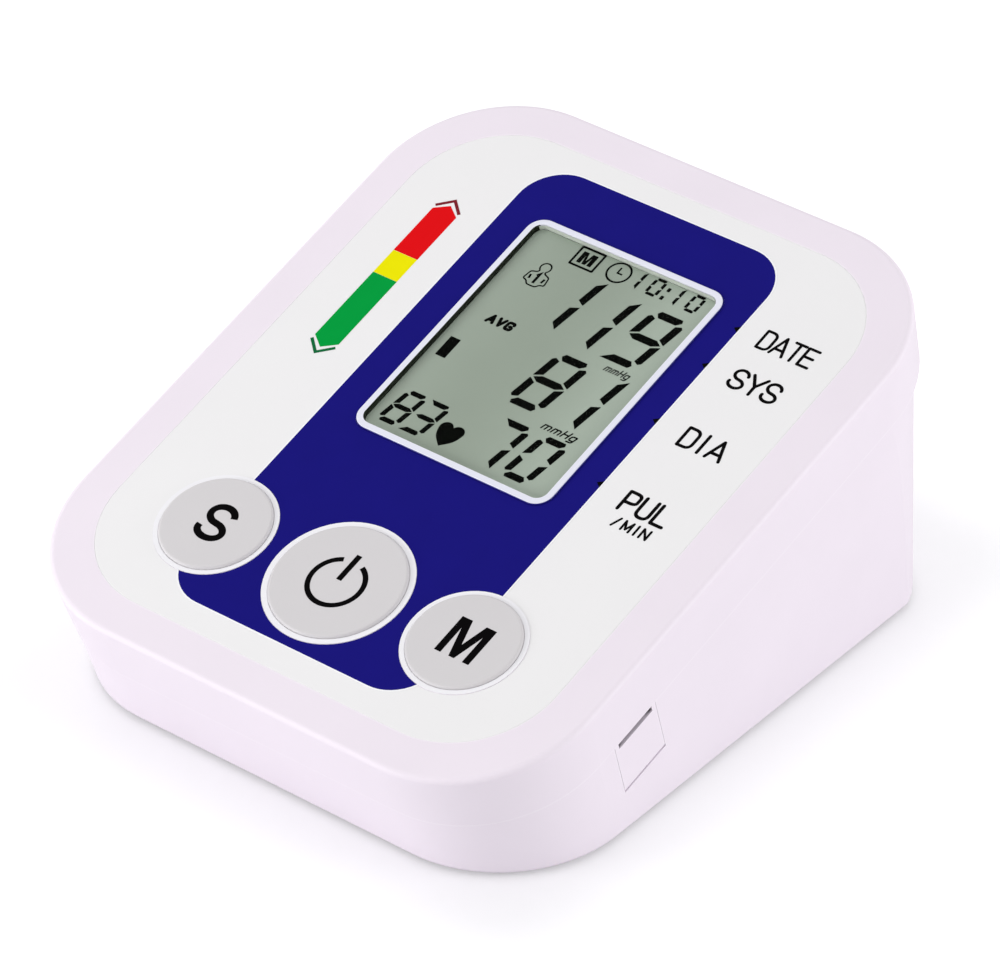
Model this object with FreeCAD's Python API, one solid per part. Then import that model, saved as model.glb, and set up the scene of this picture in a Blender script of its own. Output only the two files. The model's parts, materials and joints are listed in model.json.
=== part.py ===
import FreeCAD, Part
import math
import os

# Desktop upper-arm blood pressure monitor: sloping face, three keys, display, air pump inside.
#
# Two frames are used, both in millimetres.
#   Row frame:  X to the user's right, Y to the rear, Z up, origin under the middle of the feet.
#   Face frame: x across the face, v up its slope, n out of it, origin at the centre of the power
#               key on the face. to_row() turns a shape from the face frame into the row frame.

Vector = FreeCAD.Vector

# ---- driving dimensions of the housing ----
WIDTH = 103.2            # across the housing
FACE_LENGTH = 125.2      # up the slope of the face
FACE_CENTRE_V = 36.75    # from the power key to the middle of the face
CORNER_R = 23.4          # corners of the housing, seen square to the face
TILT = 17.0              # slope of the face, degrees
KEY_HEIGHT = 30.5        # power key above the table
KEY_Y = -36.69           # power key in the row frame
WALL = 2.2               # moulded walls
BAND_WIDTH = 7.0         # faintly sloping band between the face plate and the edge
BAND_DROP = 0.2
EDGE_R = 0.9             # round where the band turns down into the walls
SKIRT = 12.0             # depth of the upper case's skirt, where the cases part
SKIRT_DRAFT = 0.8        # how much the skirt draws in over that depth
SEAM = 0.2               # gap along the parting line
LIP = 2.4                # tongue of the lower case inside the skirt
LIP_INSET = 1.95
REBATE = 1.8             # inner half of the skirt, cut away for the tongue
CAVITY_INSET = 2.6       # inside of the upper case, from its outline
LOWER_INSET = 1.0        # lower case inside the upper one's outline at the parting line
DEEP = 62.0              # further below the face than any part of the case
SIDE_DRAFT = 1.4         # how much the lower walls draw in down to that depth
REAR_WALL_Y = 59.8       # upright rear wall of the lower case
REAR_R_LOW = 18.8        # its corners in plan, at the table
REAR_R_HIGH = 22.4       # and at REAR_TOP, where they follow the skirt's
REAR_TOP = 50.0
REAR_BACK = 150.0        # the upright form is longer than the case
FOOT_PROUD = 0.8         # feet stand out below the case
FLOOR_Z = FOOT_PROUD + WALL
RIM_ROUND = 0.8          # round where the walls meet the underside
CUT = 1.0                # how far a cutting shape runs past the surface it cuts
SNUG = 0.05              # gap between pieces that are fixed together
LOOSE = 0.1              # the same where they are dropped in

# ---- face plate, display and keys ----
PLATE_WIDTH = 88.8
PLATE_LENGTH = 111.2
PLATE_R = 17.5
PLATE_THICK = 1.0
PLATE_GAP = SNUG
PLATE_ROUND = 0.15
TOP_WALL = 2.4           # case under the face plate
CEILING = -(PLATE_THICK + TOP_WALL)
COLLAR_PROUD = 0.12      # key collars above the face
RIM_PROUD = 0.4          # display rim above the face
RIM_TOP_ROUND = 0.3
RIM_WIDTH = 39.4
RIM_LENGTH = 50.5
RIM_R = 3.1
RIM_CENTRE_V = 52.5
RIM_STRIP = 1.2
WINDOW_THICK = 0.9
WINDOW_TOP = 0.2
GLASS_TOP = WINDOW_TOP - WINDOW_THICK
GLASS_THICK = 2.4
GLASS_STEP = CEILING - 0.9   # where the glass widens behind the case's top wall
GLASS_MARGIN = 2.6       # display glass beyond the window, each side
HOLDER_MARGIN = 4.2
HOLDER_DEPTH = 3.2       # tray of the display frame, below the case's top wall
HOLDER_R = 2.0
STRIP_HALF = 18.0        # rubber contact strip below the display glass
STRIP_WIDTH = 2.2
KEY_PITCH = 25.2
KEY_TRAVEL = 0.6
KEY_TOP = 0.6
KEY_CLEARANCE = 0.12
KEY_EDGE_R = 0.45
KEY_WALL = 1.4
KEY_ROOF = 1.5
FLANGE_OUT = 0.9
FLANGE_THICK = 0.7
FLANGE_GAP = 0.12        # the flange stops the key just under the case's top wall
STEM_R = 2.2
KEY_RIB_HALF = 0.5
KEY_RIB_RISE = 0.4       # ribs stop above the flange's underside
KEYS = {                 # name: (x, cap radius, collar radius)
    "set": (-KEY_PITCH, 9.35, 10.25),
    "power": (0.0, 11.3, 12.35),
    "memory": (KEY_PITCH, 9.35, 10.25),
}

# ---- circuit board ----
BOARD_TOP = -9.0
BOARD_THICK = 1.6
BOARD_WIDTH = 76.0
BOARD_FRONT = -15.0
BOARD_REAR = 56.0
BOARD_UNDER = BOARD_TOP - BOARD_THICK
BOARD_R = 3.0
BOARD_PILLARS = ((-35.0, 20.0), (35.0, 20.0), (-35.0, 51.0), (35.0, 51.0))
BOARD_NOTCH = (38.2, -11.4)  # the front corners make way for the case's screw posts
BOARD_NOTCH_R = 5.7
PILLAR_R = 3.0
PILOT_SLACK = 0.05       # a screw's thread stands this much into its pilot hole
BOARD_SCREW_R = 1.2
BOARD_HEAD_R = 2.2
BOARD_HEAD = 1.5
BOARD_SCREW_LENGTH = 6.0
SWITCH_SIZE = 6.2
SWITCH_TOP = -5.5
SWITCH_BASE = 0.4        # floor of a switch, under its plunger
PLUNGER_R = 1.5
PLUNGER_SLACK = 0.12
PLUNGER_REST = 0.2       # left under a fully pressed plunger
PLUNGER_TOP = -4.9
CHIP_X, CHIP_V = 12.0, 32.0
CHIP_SIZE = 12.0
CHIP_THICK = 1.5
LEG_REACH = 1.4          # legs beyond the chip's body
LEG_THICK = 0.3
BUZZER_X, BUZZER_V = 22.0, 10.0
BUZZER_R = 6.0
BUZZER_HEIGHT = 5.0
BUZZER_HOLE_R = 1.0
SENSOR_V0, SENSOR_V1 = 10.0, 20.0
SENSOR_HALF = 5.0
SENSOR_HEIGHT = 5.5
SENSOR_PORT = 3.0        # its port below the board
SENSOR_PORT_LENGTH = 4.5

# ---- batteries, their well and door ----
CELL_R = 7.25
CELL_LENGTH = 50.5
CELL_PITCH = 14.9
CELLS = 4
CELL_SHIFT = 0.9         # each cell sits off centre, because its spring is taller than its plate
CELL_ROUND = 0.5
NUB_R = 2.7
NUB_LENGTH = 1.2
CELL_Z = FOOT_PROUD + 2.7 + CELL_R
WELL_X = 30.2            # half the inside width of the well
WELL_Y0 = -13.2
WELL_Y1 = 43.2
WELL_TOP = CELL_Z + CELL_R + 0.5
WELL_WALL = 1.6
RIM_WALL = 3.2           # thicker foot of the well, where the door seats
RIM_RISE = 1.5           # that foot above the floor
CRADLE_HALF = 1.0
CRADLE_BOTTOM = CELL_Z + 3.0
CRADLE_SLACK = 0.3
CONTACT_HALF = 4.5       # contact plates on the well's end walls
CONTACT_THICK = 0.4
SPRING_R = 4.0           # at the wall
SPRING_TIP_R = 2.4       # at the cell
SPRING_WALL = 0.8
DOOR_THICK = 2.0
DOOR_GAP = 0.25
DOOR_OVERLAP = 1.4       # door beyond the well's mouth
STUB_R = 0.7             # pivot stubs of the door
STUB_LENGTH = 1.3
STUB_CLEARANCE = 0.08
STUB_END_GAP = 0.45
DOOR_RIB_HALF = 0.6      # ribs inside the door, between the cells
DOOR_RIB_HEIGHT = 1.6
DOOR_RIB_INSET = 4.0
SCOOP_R = 9.0            # finger scoop at the latch edge
SCOOP_DEPTH = 1.0
SCOOP_LIP = 1.2          # edge left behind the scoop
SCOOP_REACH = 5.0
GRIPS = 3                # raised grip ribs before the scoop
GRIP_HALF = 8.0
GRIP_WIDTH = 0.6
GRIP_PITCH = 1.6
GRIP_PROUD = 0.3
GRIP_START = 7.9

# ---- cover and socket in the right wall, in the face frame ----
COVER_V0 = 1.6
COVER_V1 = 11.8
COVER_TOP = -(SKIRT + SEAM)
COVER_BOTTOM = -23.1
COVER_THICK = 1.8
COVER_GAP = 0.2
COVER_MIDDLE = (COVER_V0 + COVER_V1) / 2
COVER_AXIS_X = 49.6
COVER_AXIS_N = COVER_BOTTOM + COVER_THICK / 2
FRAME_X0 = 45.0          # thick frame behind the wall, round the pocket
FRAME_X1 = 50.0
FRAME_MARGIN = 2.3
OUTSIDE_X = 53.0         # clear of the right wall
NAIL_LENGTH = 8.6
NAIL_HEIGHT = 1.2
PIN_R = 0.45
PIN_CLEARANCE = 0.07
PIN_FIT = 0.01
PIN_END = 1.2            # pin beyond the cover, each side
PLUG_WAY_R = 4.3         # room for the adapter's plug behind the cover
SOCKET_N = -17.7
SOCKET_V = COVER_MIDDLE
SOCKET_HALF = 4.6
SOCKET_NOSE_R = 4.0
SOCKET_NOSE = 2.0
SOCKET_BORE_R = 2.8
SOCKET_FACE_X = 47.0
SOCKET_DEPTH = 10.0
SOCKET_LENGTH = 13.5
CONTACT_R = 1.0
CONTACT_INSET = 1.2      # tip of the pin inside the socket's mouth
CONTACT_TIP = 0.4

# ---- air path, in the row frame ----
AIR_Y = 8.2              # socket in the left wall
AIR_Z = 24.0
AIR_MOUTH_X = -50.3
AIR_BORE_R = 2.5
AIR_BORE_DEPTH = 11.0
AIR_BODY_R = 4.6
AIR_COLLAR = 1.4         # wall of the case's collar round the socket
AIR_COLLAR_LENGTH = 4.1
AIR_FLANGE = 1.2
AIR_FLANGE_X = -45.8
AIR_FLANGE_THICK = 1.6
AIR_LIP = 0.3
TUBE_R = 2.1
TUBE_BORE_R = 1.2
TUBE_GAP = 0.2           # between a tube's end and the part it is pushed up to
BARB_R = 1.15
BARB_LENGTH = 5.5
PASSAGE_R = 0.6
MANIFOLD_X = -25.0
MANIFOLD_HALF = 3.0
PORT_REACH = 6.5         # ports of the manifold, from its centre
BLEED_R = 2.6
BLEED_BASE = 1.4
BLEED_NOSE = 2.2
PUMP_Y = 33.4
PUMP_Z = 31.4
PUMP_INLET_Z = AIR_Z + 2.5
MOTOR_R = 10.0
MOTOR_FLAT = 8.6         # from the axis to the can's two flats
MOTOR_X0 = -10.0
MOTOR_X1 = 16.0
MOTOR_WALL = 1.2
MAGNET_R = 7.6           # inside of the magnets, which line the can
CAP_THICK = 2.5
HEAD_X1 = 32.0
HEAD_HALF = 9.6
HEAD_ROUND = 2.5
CRANK_ROOM_R = 6.0
CRANK_ROOM = 5.6
PAD_ROOM_R = 8.0
PAD_ROOM = 3.2
OUTLET_LENGTH = 4.5
SHAFT_R = 1.0
SHAFT_RUNNING = 0.06
SHAFT_END = 4.8          # shaft beyond the can, into the crank
ARMATURE_X0 = MOTOR_X0 + 5
ARMATURE_LENGTH = 12.0
POLES = 3
CORE_R = 2.6
POLE_HALF = 1.0
SHOE_R = 6.6
SHOE_BORE_R = 5.0
SHOE_HALF = 4.4
CRANK_R = 3.6
CRANK_THICK = 3.6
CRANK_START = 0.8        # from the motor's end
CRANK_THROW = 1.0        # hangs down at rest
PAD_START = 6.2          # diaphragm from the motor's end
PAD_R = 7.9
PAD_THICK = 1.2
CUPS = 3
CUP_R = 2.6
CUP_PITCH_R = 4.2
CUP_HEIGHT = 1.3
SLEEVE_X0 = MOTOR_X0 + 6
SLEEVE_LENGTH = 13.0
SLEEVE_WALL = 1.3
SLEEVE_FOOT_HALF = 6.0
VALVE_Y = AIR_Y + 13     # exhaust valve's yoke
VALVE_HALF = 7.0
VALVE_LENGTH = 17.0
VALVE_TOP = AIR_Z + 7
VALVE_AXIS_Z = AIR_Z + 0.5
VALVE_WELL = 8.0         # from the yoke's front to the plunger's well
VALVE_WELL_R = 2.6
VALVE_NOZZLE = 6.5
STEM_START = 10.0        # plunger's stem from the yoke's front
VALVE_STEM_R = 2.4
VALVE_STEM = 9.0
VALVE_HEAD_R = 3.4
VALVE_HEAD = 1.0

# ---- screws and feet, in the row frame ----
SCREWS = (               # x, y, height where the two bosses meet
    (-38.0, -44.7, 13.4),
    (38.0, -44.7, 13.4),
    (-38.0, 43.3, 40.5),
    (38.0, 43.3, 40.5),
)
BOSS_R = 3.5
POST_TOP = 70.0          # above the case; the posts are cut off by its top wall
SCREW_R = 1.4
SCREW_HEAD_R = 2.7
SCREW_HEAD = 1.8
SCREW_WAY = 0.3          # room round a screw's head
SHANK_WAY = 0.2          # and round its shank
SCREW_SEAT = 3.0         # case between the screw head and the boss's top
SCREW_BITE = 6.5
DRIVE_REACH = 1.6        # cross recess
DRIVE_HALF = 0.3
DRIVE_DEPTH = 0.9
FOOT_R = 4.5
FOOT_SUNK = 0.8          # part of a foot in its recess
FOOT_ROUND = 0.3
FEET = ((-36.0, -34.5), (36.0, -34.5), (-33.0, 52.0), (33.0, 52.0))


# ---- small helpers ----

def to_row(shape):
    """Turn a shape from the face frame into the row frame."""
    turned = shape.copy()
    turned.rotate(Vector(0, 0, 0), Vector(1, 0, 0), TILT)
    turned.translate(Vector(0, KEY_Y, KEY_HEIGHT))
    return turned


def rounded_wire(width, length, radius, centre_y, z):
    """A rectangle with round corners, centred on x = 0."""
    x = width / 2
    y0 = centre_y - length / 2
    y1 = centre_y + length / 2
    cut = radius * (1 - math.sqrt(0.5))
    corners = (((x, y0), (1, -1)), ((x, y1), (1, 1)), ((-x, y1), (-1, 1)), ((-x, y0), (-1, -1)))
    arcs = []
    for number, ((cx, cy), (sx, sy)) in enumerate(corners):
        along_x = Vector(cx - sx * radius, cy, z)
        along_y = Vector(cx, cy - sy * radius, z)
        middle = Vector(cx - sx * cut, cy - sy * cut, z)
        start, end = (along_x, along_y) if number in (0, 2) else (along_y, along_x)
        arcs.append((start, middle, end))
    edges = []
    for number, (start, middle, end) in enumerate(arcs):
        edges.append(Part.Arc(start, middle, end).toShape())
        edges.append(Part.makeLine(end, arcs[(number + 1) % 4][0]))
    return Part.Wire(edges)


def slab(width, length, radius, centre_y, z0, z1):
    """A rounded rectangle drawn up from z0 to z1."""
    face = Part.Face(rounded_wire(width, length, radius, centre_y, z0))
    return face.extrude(Vector(0, 0, z1 - z0))


def box(x0, x1, y0, y1, z0, z1):
    return Part.makeBox(x1 - x0, y1 - y0, z1 - z0, Vector(x0, y0, z0))


def rod(radius, start, direction, length):
    return Part.makeCylinder(radius, length, Vector(*start), Vector(*direction))


def tube(outer, inner, start, direction, length):
    return rod(outer, start, direction, length).cut(rod(inner, start, direction, length))


def joined(first, *others):
    return first.multiFuse(list(others)).removeSplitter()


def without(body, *tools):
    return body.cut(list(tools))


def edges_where(shape, test):
    return [edge for edge in shape.Edges if test(edge)]


def level(edge, z, slack=0.01):
    """Whether an edge lies in one level plane."""
    box_of_edge = edge.BoundBox
    return abs(box_of_edge.ZMin - z) < slack and abs(box_of_edge.ZMax - z) < slack


def housing(inset, z0, z1):
    """The housing's outline seen square to the face, drawn in by inset."""
    return slab(WIDTH - 2 * inset, FACE_LENGTH - 2 * inset, CORNER_R - inset, FACE_CENTRE_V, z0, z1)


# ---- the two cases ----

def drafted(inset_top, top, inset_bottom, bottom):
    """The housing's outline drawn down from top to bottom, square to the face, walls drawn in."""
    wires = [
        rounded_wire(WIDTH - 2 * i, FACE_LENGTH - 2 * i, CORNER_R - i, FACE_CENTRE_V, n)
        for i, n in ((inset_top, top), (inset_bottom, bottom))
    ]
    return Part.makeLoft(wires, True, True)


def upper_blank():
    """Outside of the upper case: skirt, soft edge and the faintly sloping band."""
    blank = drafted(0, 0, SKIRT_DRAFT, -SKIRT)
    top = edges_where(blank, lambda edge: level(edge, 0))
    blank = blank.makeChamfer(BAND_DROP, BAND_WIDTH, top)
    shoulder = edges_where(blank, lambda edge: level(edge, -BAND_DROP))
    return blank.makeFillet(EDGE_R, shoulder)


def screw_post(x, y, z0, z1):
    return rod(BOSS_R, (x, y, z0), (0, 0, 1), z1 - z0)


def rim_hole(n0, n1):
    """Hole that the display's rim stands in."""
    return slab(
        RIM_WIDTH + 2 * PLATE_GAP, RIM_LENGTH + 2 * PLATE_GAP, RIM_R + PLATE_GAP,
        RIM_CENTRE_V, n0, n1,
    )


def upper_case():
    """Upper housing: thin walls, recess for the plate, key collars, board pillars, screw posts."""
    body = upper_blank()
    inside = housing(CAVITY_INSET, -SKIRT - CUT, CEILING)
    rebate = housing(REBATE, -SKIRT - CUT, -SKIRT + LIP + SEAM)
    recess = slab(
        PLATE_WIDTH + 2 * PLATE_GAP, PLATE_LENGTH + 2 * PLATE_GAP, PLATE_R + PLATE_GAP,
        FACE_CENTRE_V, -PLATE_THICK, CUT,
    )
    body = without(body, inside, rebate, recess, rim_hole(CEILING - CUT, CUT))
    collars = []
    bores = []
    for x, cap_r, collar_r in KEYS.values():
        height = COLLAR_PROUD - CEILING
        collars.append(rod(collar_r, (x, 0, CEILING), (0, 0, 1), height))
        bores.append(rod(cap_r + KEY_CLEARANCE, (x, 0, CEILING - CUT), (0, 0, 1), height + 2 * CUT))
    body = without(joined(body, *collars), *bores)
    pillar = CEILING - BOARD_TOP + PILOT_SLACK
    pillars = [
        tube(PILLAR_R, BOARD_SCREW_R + PILOT_SLACK, (x, v, BOARD_TOP), (0, 0, 1), pillar)
        for x, v in BOARD_PILLARS
    ]
    body = to_row(joined(body, *pillars))

    under_top_wall = to_row(housing(LOWER_INSET, -DEEP, CEILING + TOP_WALL / 4))
    posts = []
    pilots = []
    for x, y, meet in SCREWS:
        posts.append(screw_post(x, y, meet + SEAM, POST_TOP).common(under_top_wall))
        pilots.append(rod(SCREW_R + PILOT_SLACK, (x, y, meet), (0, 0, 1), SCREW_BITE + CUT))
    return without(joined(body, *posts), *pilots)


def upright_wire(inset, z):
    """Plan outline that gives the upright rear wall, whose corners open out towards the table."""
    radius = REAR_R_LOW + (REAR_R_HIGH - REAR_R_LOW) * z / REAR_TOP
    width = WIDTH - 2 * (LOWER_INSET + inset)
    rear = REAR_WALL_Y - inset
    return rounded_wire(width, REAR_BACK, radius - inset, rear - REAR_BACK / 2, z)


def lower_space(inset, top, floor):
    """The lower case's form: walls square to the face, with an upright rear wall."""
    inset_top = LOWER_INSET + inset
    leaning = to_row(drafted(inset_top, top, inset_top + SIDE_DRAFT, -DEEP))
    upright = Part.makeLoft([upright_wire(inset, floor), upright_wire(inset, REAR_TOP)], True, True)
    return leaning.common(upright)


def lower_shell():
    """Walls, floor, and the tongue that stands up inside the skirt."""
    outside = lower_space(0, -(SKIRT + SEAM), FOOT_PROUD)
    rim = edges_where(outside, lambda edge: level(edge, FOOT_PROUD))
    outside = outside.makeFillet(RIM_ROUND, rim)
    parting = -(SKIRT + SEAM)
    tongue = to_row(housing(LIP_INSET, parting, -SKIRT + LIP))
    inside = lower_space(WALL, parting + CUT, FLOOR_Z)
    throat = to_row(housing(LOWER_INSET + WALL, parting + CUT / 2, -SKIRT + LIP + CUT))
    return without(joined(outside, tongue), inside, throat)


def battery_well():
    """Upside-down box over the batteries, with cradles that follow their round backs."""
    x = WELL_X + WELL_WALL
    box_outside = box(
        -x, x, WELL_Y0 - WELL_WALL, WELL_Y1 + WELL_WALL, FOOT_PROUD, WELL_TOP + WELL_WALL,
    )
    x = WELL_X + RIM_WALL
    foot = box(-x, x, WELL_Y0 - RIM_WALL, WELL_Y1 + RIM_WALL, FOOT_PROUD, FLOOR_Z + RIM_RISE)
    space = box(-WELL_X, WELL_X, WELL_Y0, WELL_Y1, 0, WELL_TOP)
    return joined(box_outside, foot), space


def cell_x(number):
    return (number - (CELLS - 1) / 2) * CELL_PITCH


def cradles():
    """Two ribs across the well's roof, hollowed for the four cells."""
    ribs = []
    for share in (0.25, 0.75):
        y = WELL_Y0 + share * (WELL_Y1 - WELL_Y0)
        x = WELL_X + WELL_WALL / 2
        top = WELL_TOP + WELL_WALL / 2
        ribs.append(box(-x, x, y - CRADLE_HALF, y + CRADLE_HALF, CRADLE_BOTTOM, top))
    hollows = [
        rod(CELL_R + CRADLE_SLACK, (cell_x(n), WELL_Y0, CELL_Z), (0, 1, 0), WELL_Y1 - WELL_Y0)
        for n in range(CELLS)
    ]
    return [without(rib, *hollows) for rib in ribs]


def door_extent(grow):
    """x, front and rear limits of the door, grown by a gap."""
    x = WELL_X + DOOR_OVERLAP + grow
    return x, WELL_Y0 - DOOR_OVERLAP - grow, WELL_Y1 + DOOR_OVERLAP + grow


def door_axis():
    """The pivot line of the door: y and z."""
    front = door_extent(0)[1]
    return front + DOOR_THICK / 2, FOOT_PROUD + DOOR_THICK / 2


def socket_frame():
    """Thick frame moulded behind the right wall, round the socket's pocket."""
    return box(
        FRAME_X0, FRAME_X1, COVER_V0 - FRAME_MARGIN, COVER_V1 + FRAME_MARGIN,
        COVER_BOTTOM - FRAME_MARGIN, COVER_TOP,
    )


def cover_space(gap):
    """Pocket for the cover, open at the parting line, with a round bottom edge."""
    radius = COVER_THICK / 2
    x0 = COVER_AXIS_X - radius - gap
    v0 = COVER_V0 - gap
    v1 = COVER_V1 + gap
    top = COVER_TOP + LIP + CUT if gap else COVER_TOP
    plate = box(x0, OUTSIDE_X, v0, v1, COVER_AXIS_N, top)
    bead = rod(radius + gap, (COVER_AXIS_X, v0, COVER_AXIS_N), (0, 1, 0), v1 - v0)
    if not gap:
        return joined(plate, bead)
    outer = box(COVER_AXIS_X, OUTSIDE_X, v0, v1, COVER_BOTTOM - gap, COVER_AXIS_N + gap)
    return joined(plate, outer, bead)


def lower_case():
    """Lower housing: shell, battery well, screw posts, and the pockets of door, cover and feet."""
    shell = lower_shell()
    within_walls = lower_space(WALL / 4, -(SKIRT + SEAM), FOOT_PROUD)
    well, well_space = battery_well()
    posts = [
        screw_post(x, y, FOOT_PROUD, meet).common(within_walls)
        for x, y, meet in SCREWS
    ]
    collar_start = (AIR_MOUTH_X + AIR_LIP, AIR_Y, AIR_Z)
    air_collar = rod(AIR_BODY_R + AIR_COLLAR, collar_start, (1, 0, 0), AIR_COLLAR_LENGTH)
    frame = to_row(socket_frame())
    body = joined(shell, well, air_collar, frame, *posts)

    cuts = [well_space]
    x, front, rear = door_extent(DOOR_GAP)
    axis_y, axis_z = door_axis()
    cuts.append(box(-x, x, front, rear, 0, FOOT_PROUD + DOOR_THICK + DOOR_GAP / 2))
    pivot = STUB_R + STUB_CLEARANCE
    reach = x + STUB_LENGTH
    cuts.append(rod(pivot, (-reach, axis_y, axis_z), (1, 0, 0), 2 * reach))
    for x, y, meet in SCREWS:
        cuts.append(rod(SCREW_HEAD_R + SCREW_WAY, (x, y, 0), (0, 0, 1), meet - SCREW_SEAT))
        cuts.append(rod(SCREW_R + SHANK_WAY, (x, y, 0), (0, 0, 1), meet + CUT))
    for x, y in FEET:
        cuts.append(rod(FOOT_R + LOOSE, (x, y, 0), (0, 0, 1), FOOT_PROUD + FOOT_SUNK))
    cuts.append(rod(AIR_BODY_R, (-WIDTH / 2 - CUT, AIR_Y, AIR_Z), (1, 0, 0), WIDTH / 4))
    cuts.append(to_row(cover_space(COVER_GAP)))
    cuts.append(to_row(socket_way()))
    cuts.append(to_row(cover_pin(PIN_FIT)))
    body = without(body, *cuts)
    return joined(body, *cradles())


def socket_way():
    """Way for the plug behind the cover, open up to the finger-nail slot."""
    x0 = FRAME_X0 - CUT
    v0 = COVER_MIDDLE - PLUG_WAY_R
    v1 = COVER_MIDDLE + PLUG_WAY_R
    lower = rod(PLUG_WAY_R, (x0, COVER_MIDDLE, SOCKET_N), (1, 0, 0), OUTSIDE_X - x0)
    upper = box(x0, OUTSIDE_X, v0, v1, SOCKET_N, COVER_TOP + LIP + CUT)
    return joined(lower, upper)


# ---- cover of the power socket ----

def cover_pin(grow=0.0):
    """Steel pin that the cover swings on, held at both ends in the frame behind the wall."""
    length = COVER_V1 - COVER_V0 + 2 * PIN_END
    return rod(PIN_R + grow, (COVER_AXIS_X, COVER_V0 - PIN_END, COVER_AXIS_N), (0, 1, 0), length)


def port_cover():
    """Cover that follows the wall's surface, with a slot for a finger nail at the parting line."""
    outside = lower_space(0, -(SKIRT + SEAM), FOOT_PROUD)
    plate = to_row(cover_space(0)).common(outside)
    nail = box(
        FRAME_X0, OUTSIDE_X, COVER_MIDDLE - NAIL_LENGTH / 2, COVER_MIDDLE + NAIL_LENGTH / 2,
        COVER_TOP - NAIL_HEIGHT, COVER_TOP + CUT,
    )
    hole = cover_pin(PIN_CLEARANCE)
    return without(plate, to_row(nail), to_row(hole))


def power_socket():
    """Moulded socket block with a round mouth, its bore facing right."""
    x0 = SOCKET_FACE_X - SOCKET_LENGTH
    x1 = SOCKET_FACE_X - SOCKET_NOSE
    block = box(
        x0, x1, SOCKET_V - SOCKET_HALF, SOCKET_V + SOCKET_HALF, SOCKET_N - SOCKET_HALF, BOARD_UNDER,
    )
    nose = rod(SOCKET_NOSE_R, (x1, SOCKET_V, SOCKET_N), (1, 0, 0), SOCKET_NOSE)
    floor = (SOCKET_FACE_X - SOCKET_DEPTH, SOCKET_V, SOCKET_N)
    bore = rod(SOCKET_BORE_R, floor, (1, 0, 0), SOCKET_DEPTH + CUT)
    return to_row(without(joined(block, nose), bore))


def socket_contact():
    """Centre pin that the plug's barrel slides over, with a rounded tip."""
    start = (SOCKET_FACE_X - SOCKET_DEPTH, SOCKET_V, SOCKET_N)
    length = SOCKET_DEPTH - CONTACT_INSET
    pin = rod(CONTACT_R, start, (1, 0, 0), length)
    tip = edges_where(pin, lambda edge: edge.BoundBox.XMin > start[0] + length / 2)
    return to_row(pin.makeChamfer(CONTACT_TIP, tip))


# ---- face plate and display ----

def face_plate():
    """Printed sheet that fills the recess, with holes for the display's rim and the collars."""
    plate = slab(PLATE_WIDTH, PLATE_LENGTH, PLATE_R, FACE_CENTRE_V, -PLATE_THICK, 0)
    top = edges_where(plate, lambda edge: level(edge, 0))
    plate = plate.makeFillet(PLATE_ROUND, top)
    start = -PLATE_THICK - CUT
    holes = [rim_hole(start, CUT)]
    for x, _, collar_r in KEYS.values():
        holes.append(rod(collar_r + PLATE_GAP, (x, 0, start), (0, 0, 1), CUT - start))
    return to_row(without(plate, *holes))


def display_slab(margin, radius, z0, z1):
    """A rounded slab that reaches margin beyond the display's visible opening."""
    width = RIM_WIDTH - 2 * RIM_STRIP + 2 * margin
    length = RIM_LENGTH - 2 * RIM_STRIP + 2 * margin
    return slab(width, length, radius, RIM_CENTRE_V, z0, z1)


def lcd_frame():
    """White rim that stands up through the face, with a tray below for the glass."""
    tray_top = CEILING - LOOSE
    tray_bottom = CEILING - HOLDER_DEPTH
    rim = slab(RIM_WIDTH, RIM_LENGTH, RIM_R, RIM_CENTRE_V, tray_top, RIM_PROUD)
    outer_top = edges_where(rim, lambda edge: level(edge, RIM_PROUD))
    rim = rim.makeFillet(RIM_TOP_ROUND, outer_top)
    tray = display_slab(HOLDER_MARGIN, HOLDER_R, tray_bottom, tray_top)
    opening = display_slab(0, RIM_R - RIM_STRIP, tray_bottom - CUT, RIM_PROUD + CUT)
    pocket = display_slab(
        GLASS_MARGIN + LOOSE, HOLDER_R / 2, tray_bottom - CUT, GLASS_STEP + LOOSE,
    )
    return to_row(without(joined(rim, tray), opening, pocket))


def lcd_window():
    return to_row(display_slab(-SNUG, RIM_R - RIM_STRIP, GLASS_TOP, WINDOW_TOP))


def lcd_glass():
    """Display glass: the polariser fills the rim, and the cell behind it sits in the tray."""
    front_top = GLASS_TOP - SNUG / 2
    front = display_slab(-LOOSE, RIM_R - RIM_STRIP, GLASS_STEP, front_top)
    cell = display_slab(GLASS_MARGIN, HOLDER_R / 2, GLASS_STEP - GLASS_THICK, GLASS_STEP)
    return to_row(joined(front, cell))


def lcd_connector():
    """Rubber contact strip between the display glass and the board."""
    v = RIM_CENTRE_V - RIM_LENGTH / 2 + RIM_STRIP
    top = GLASS_STEP - GLASS_THICK
    return to_row(box(-STRIP_HALF, STRIP_HALF, v, v + STRIP_WIDTH, BOARD_TOP, top))


# ---- keys ----

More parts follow.
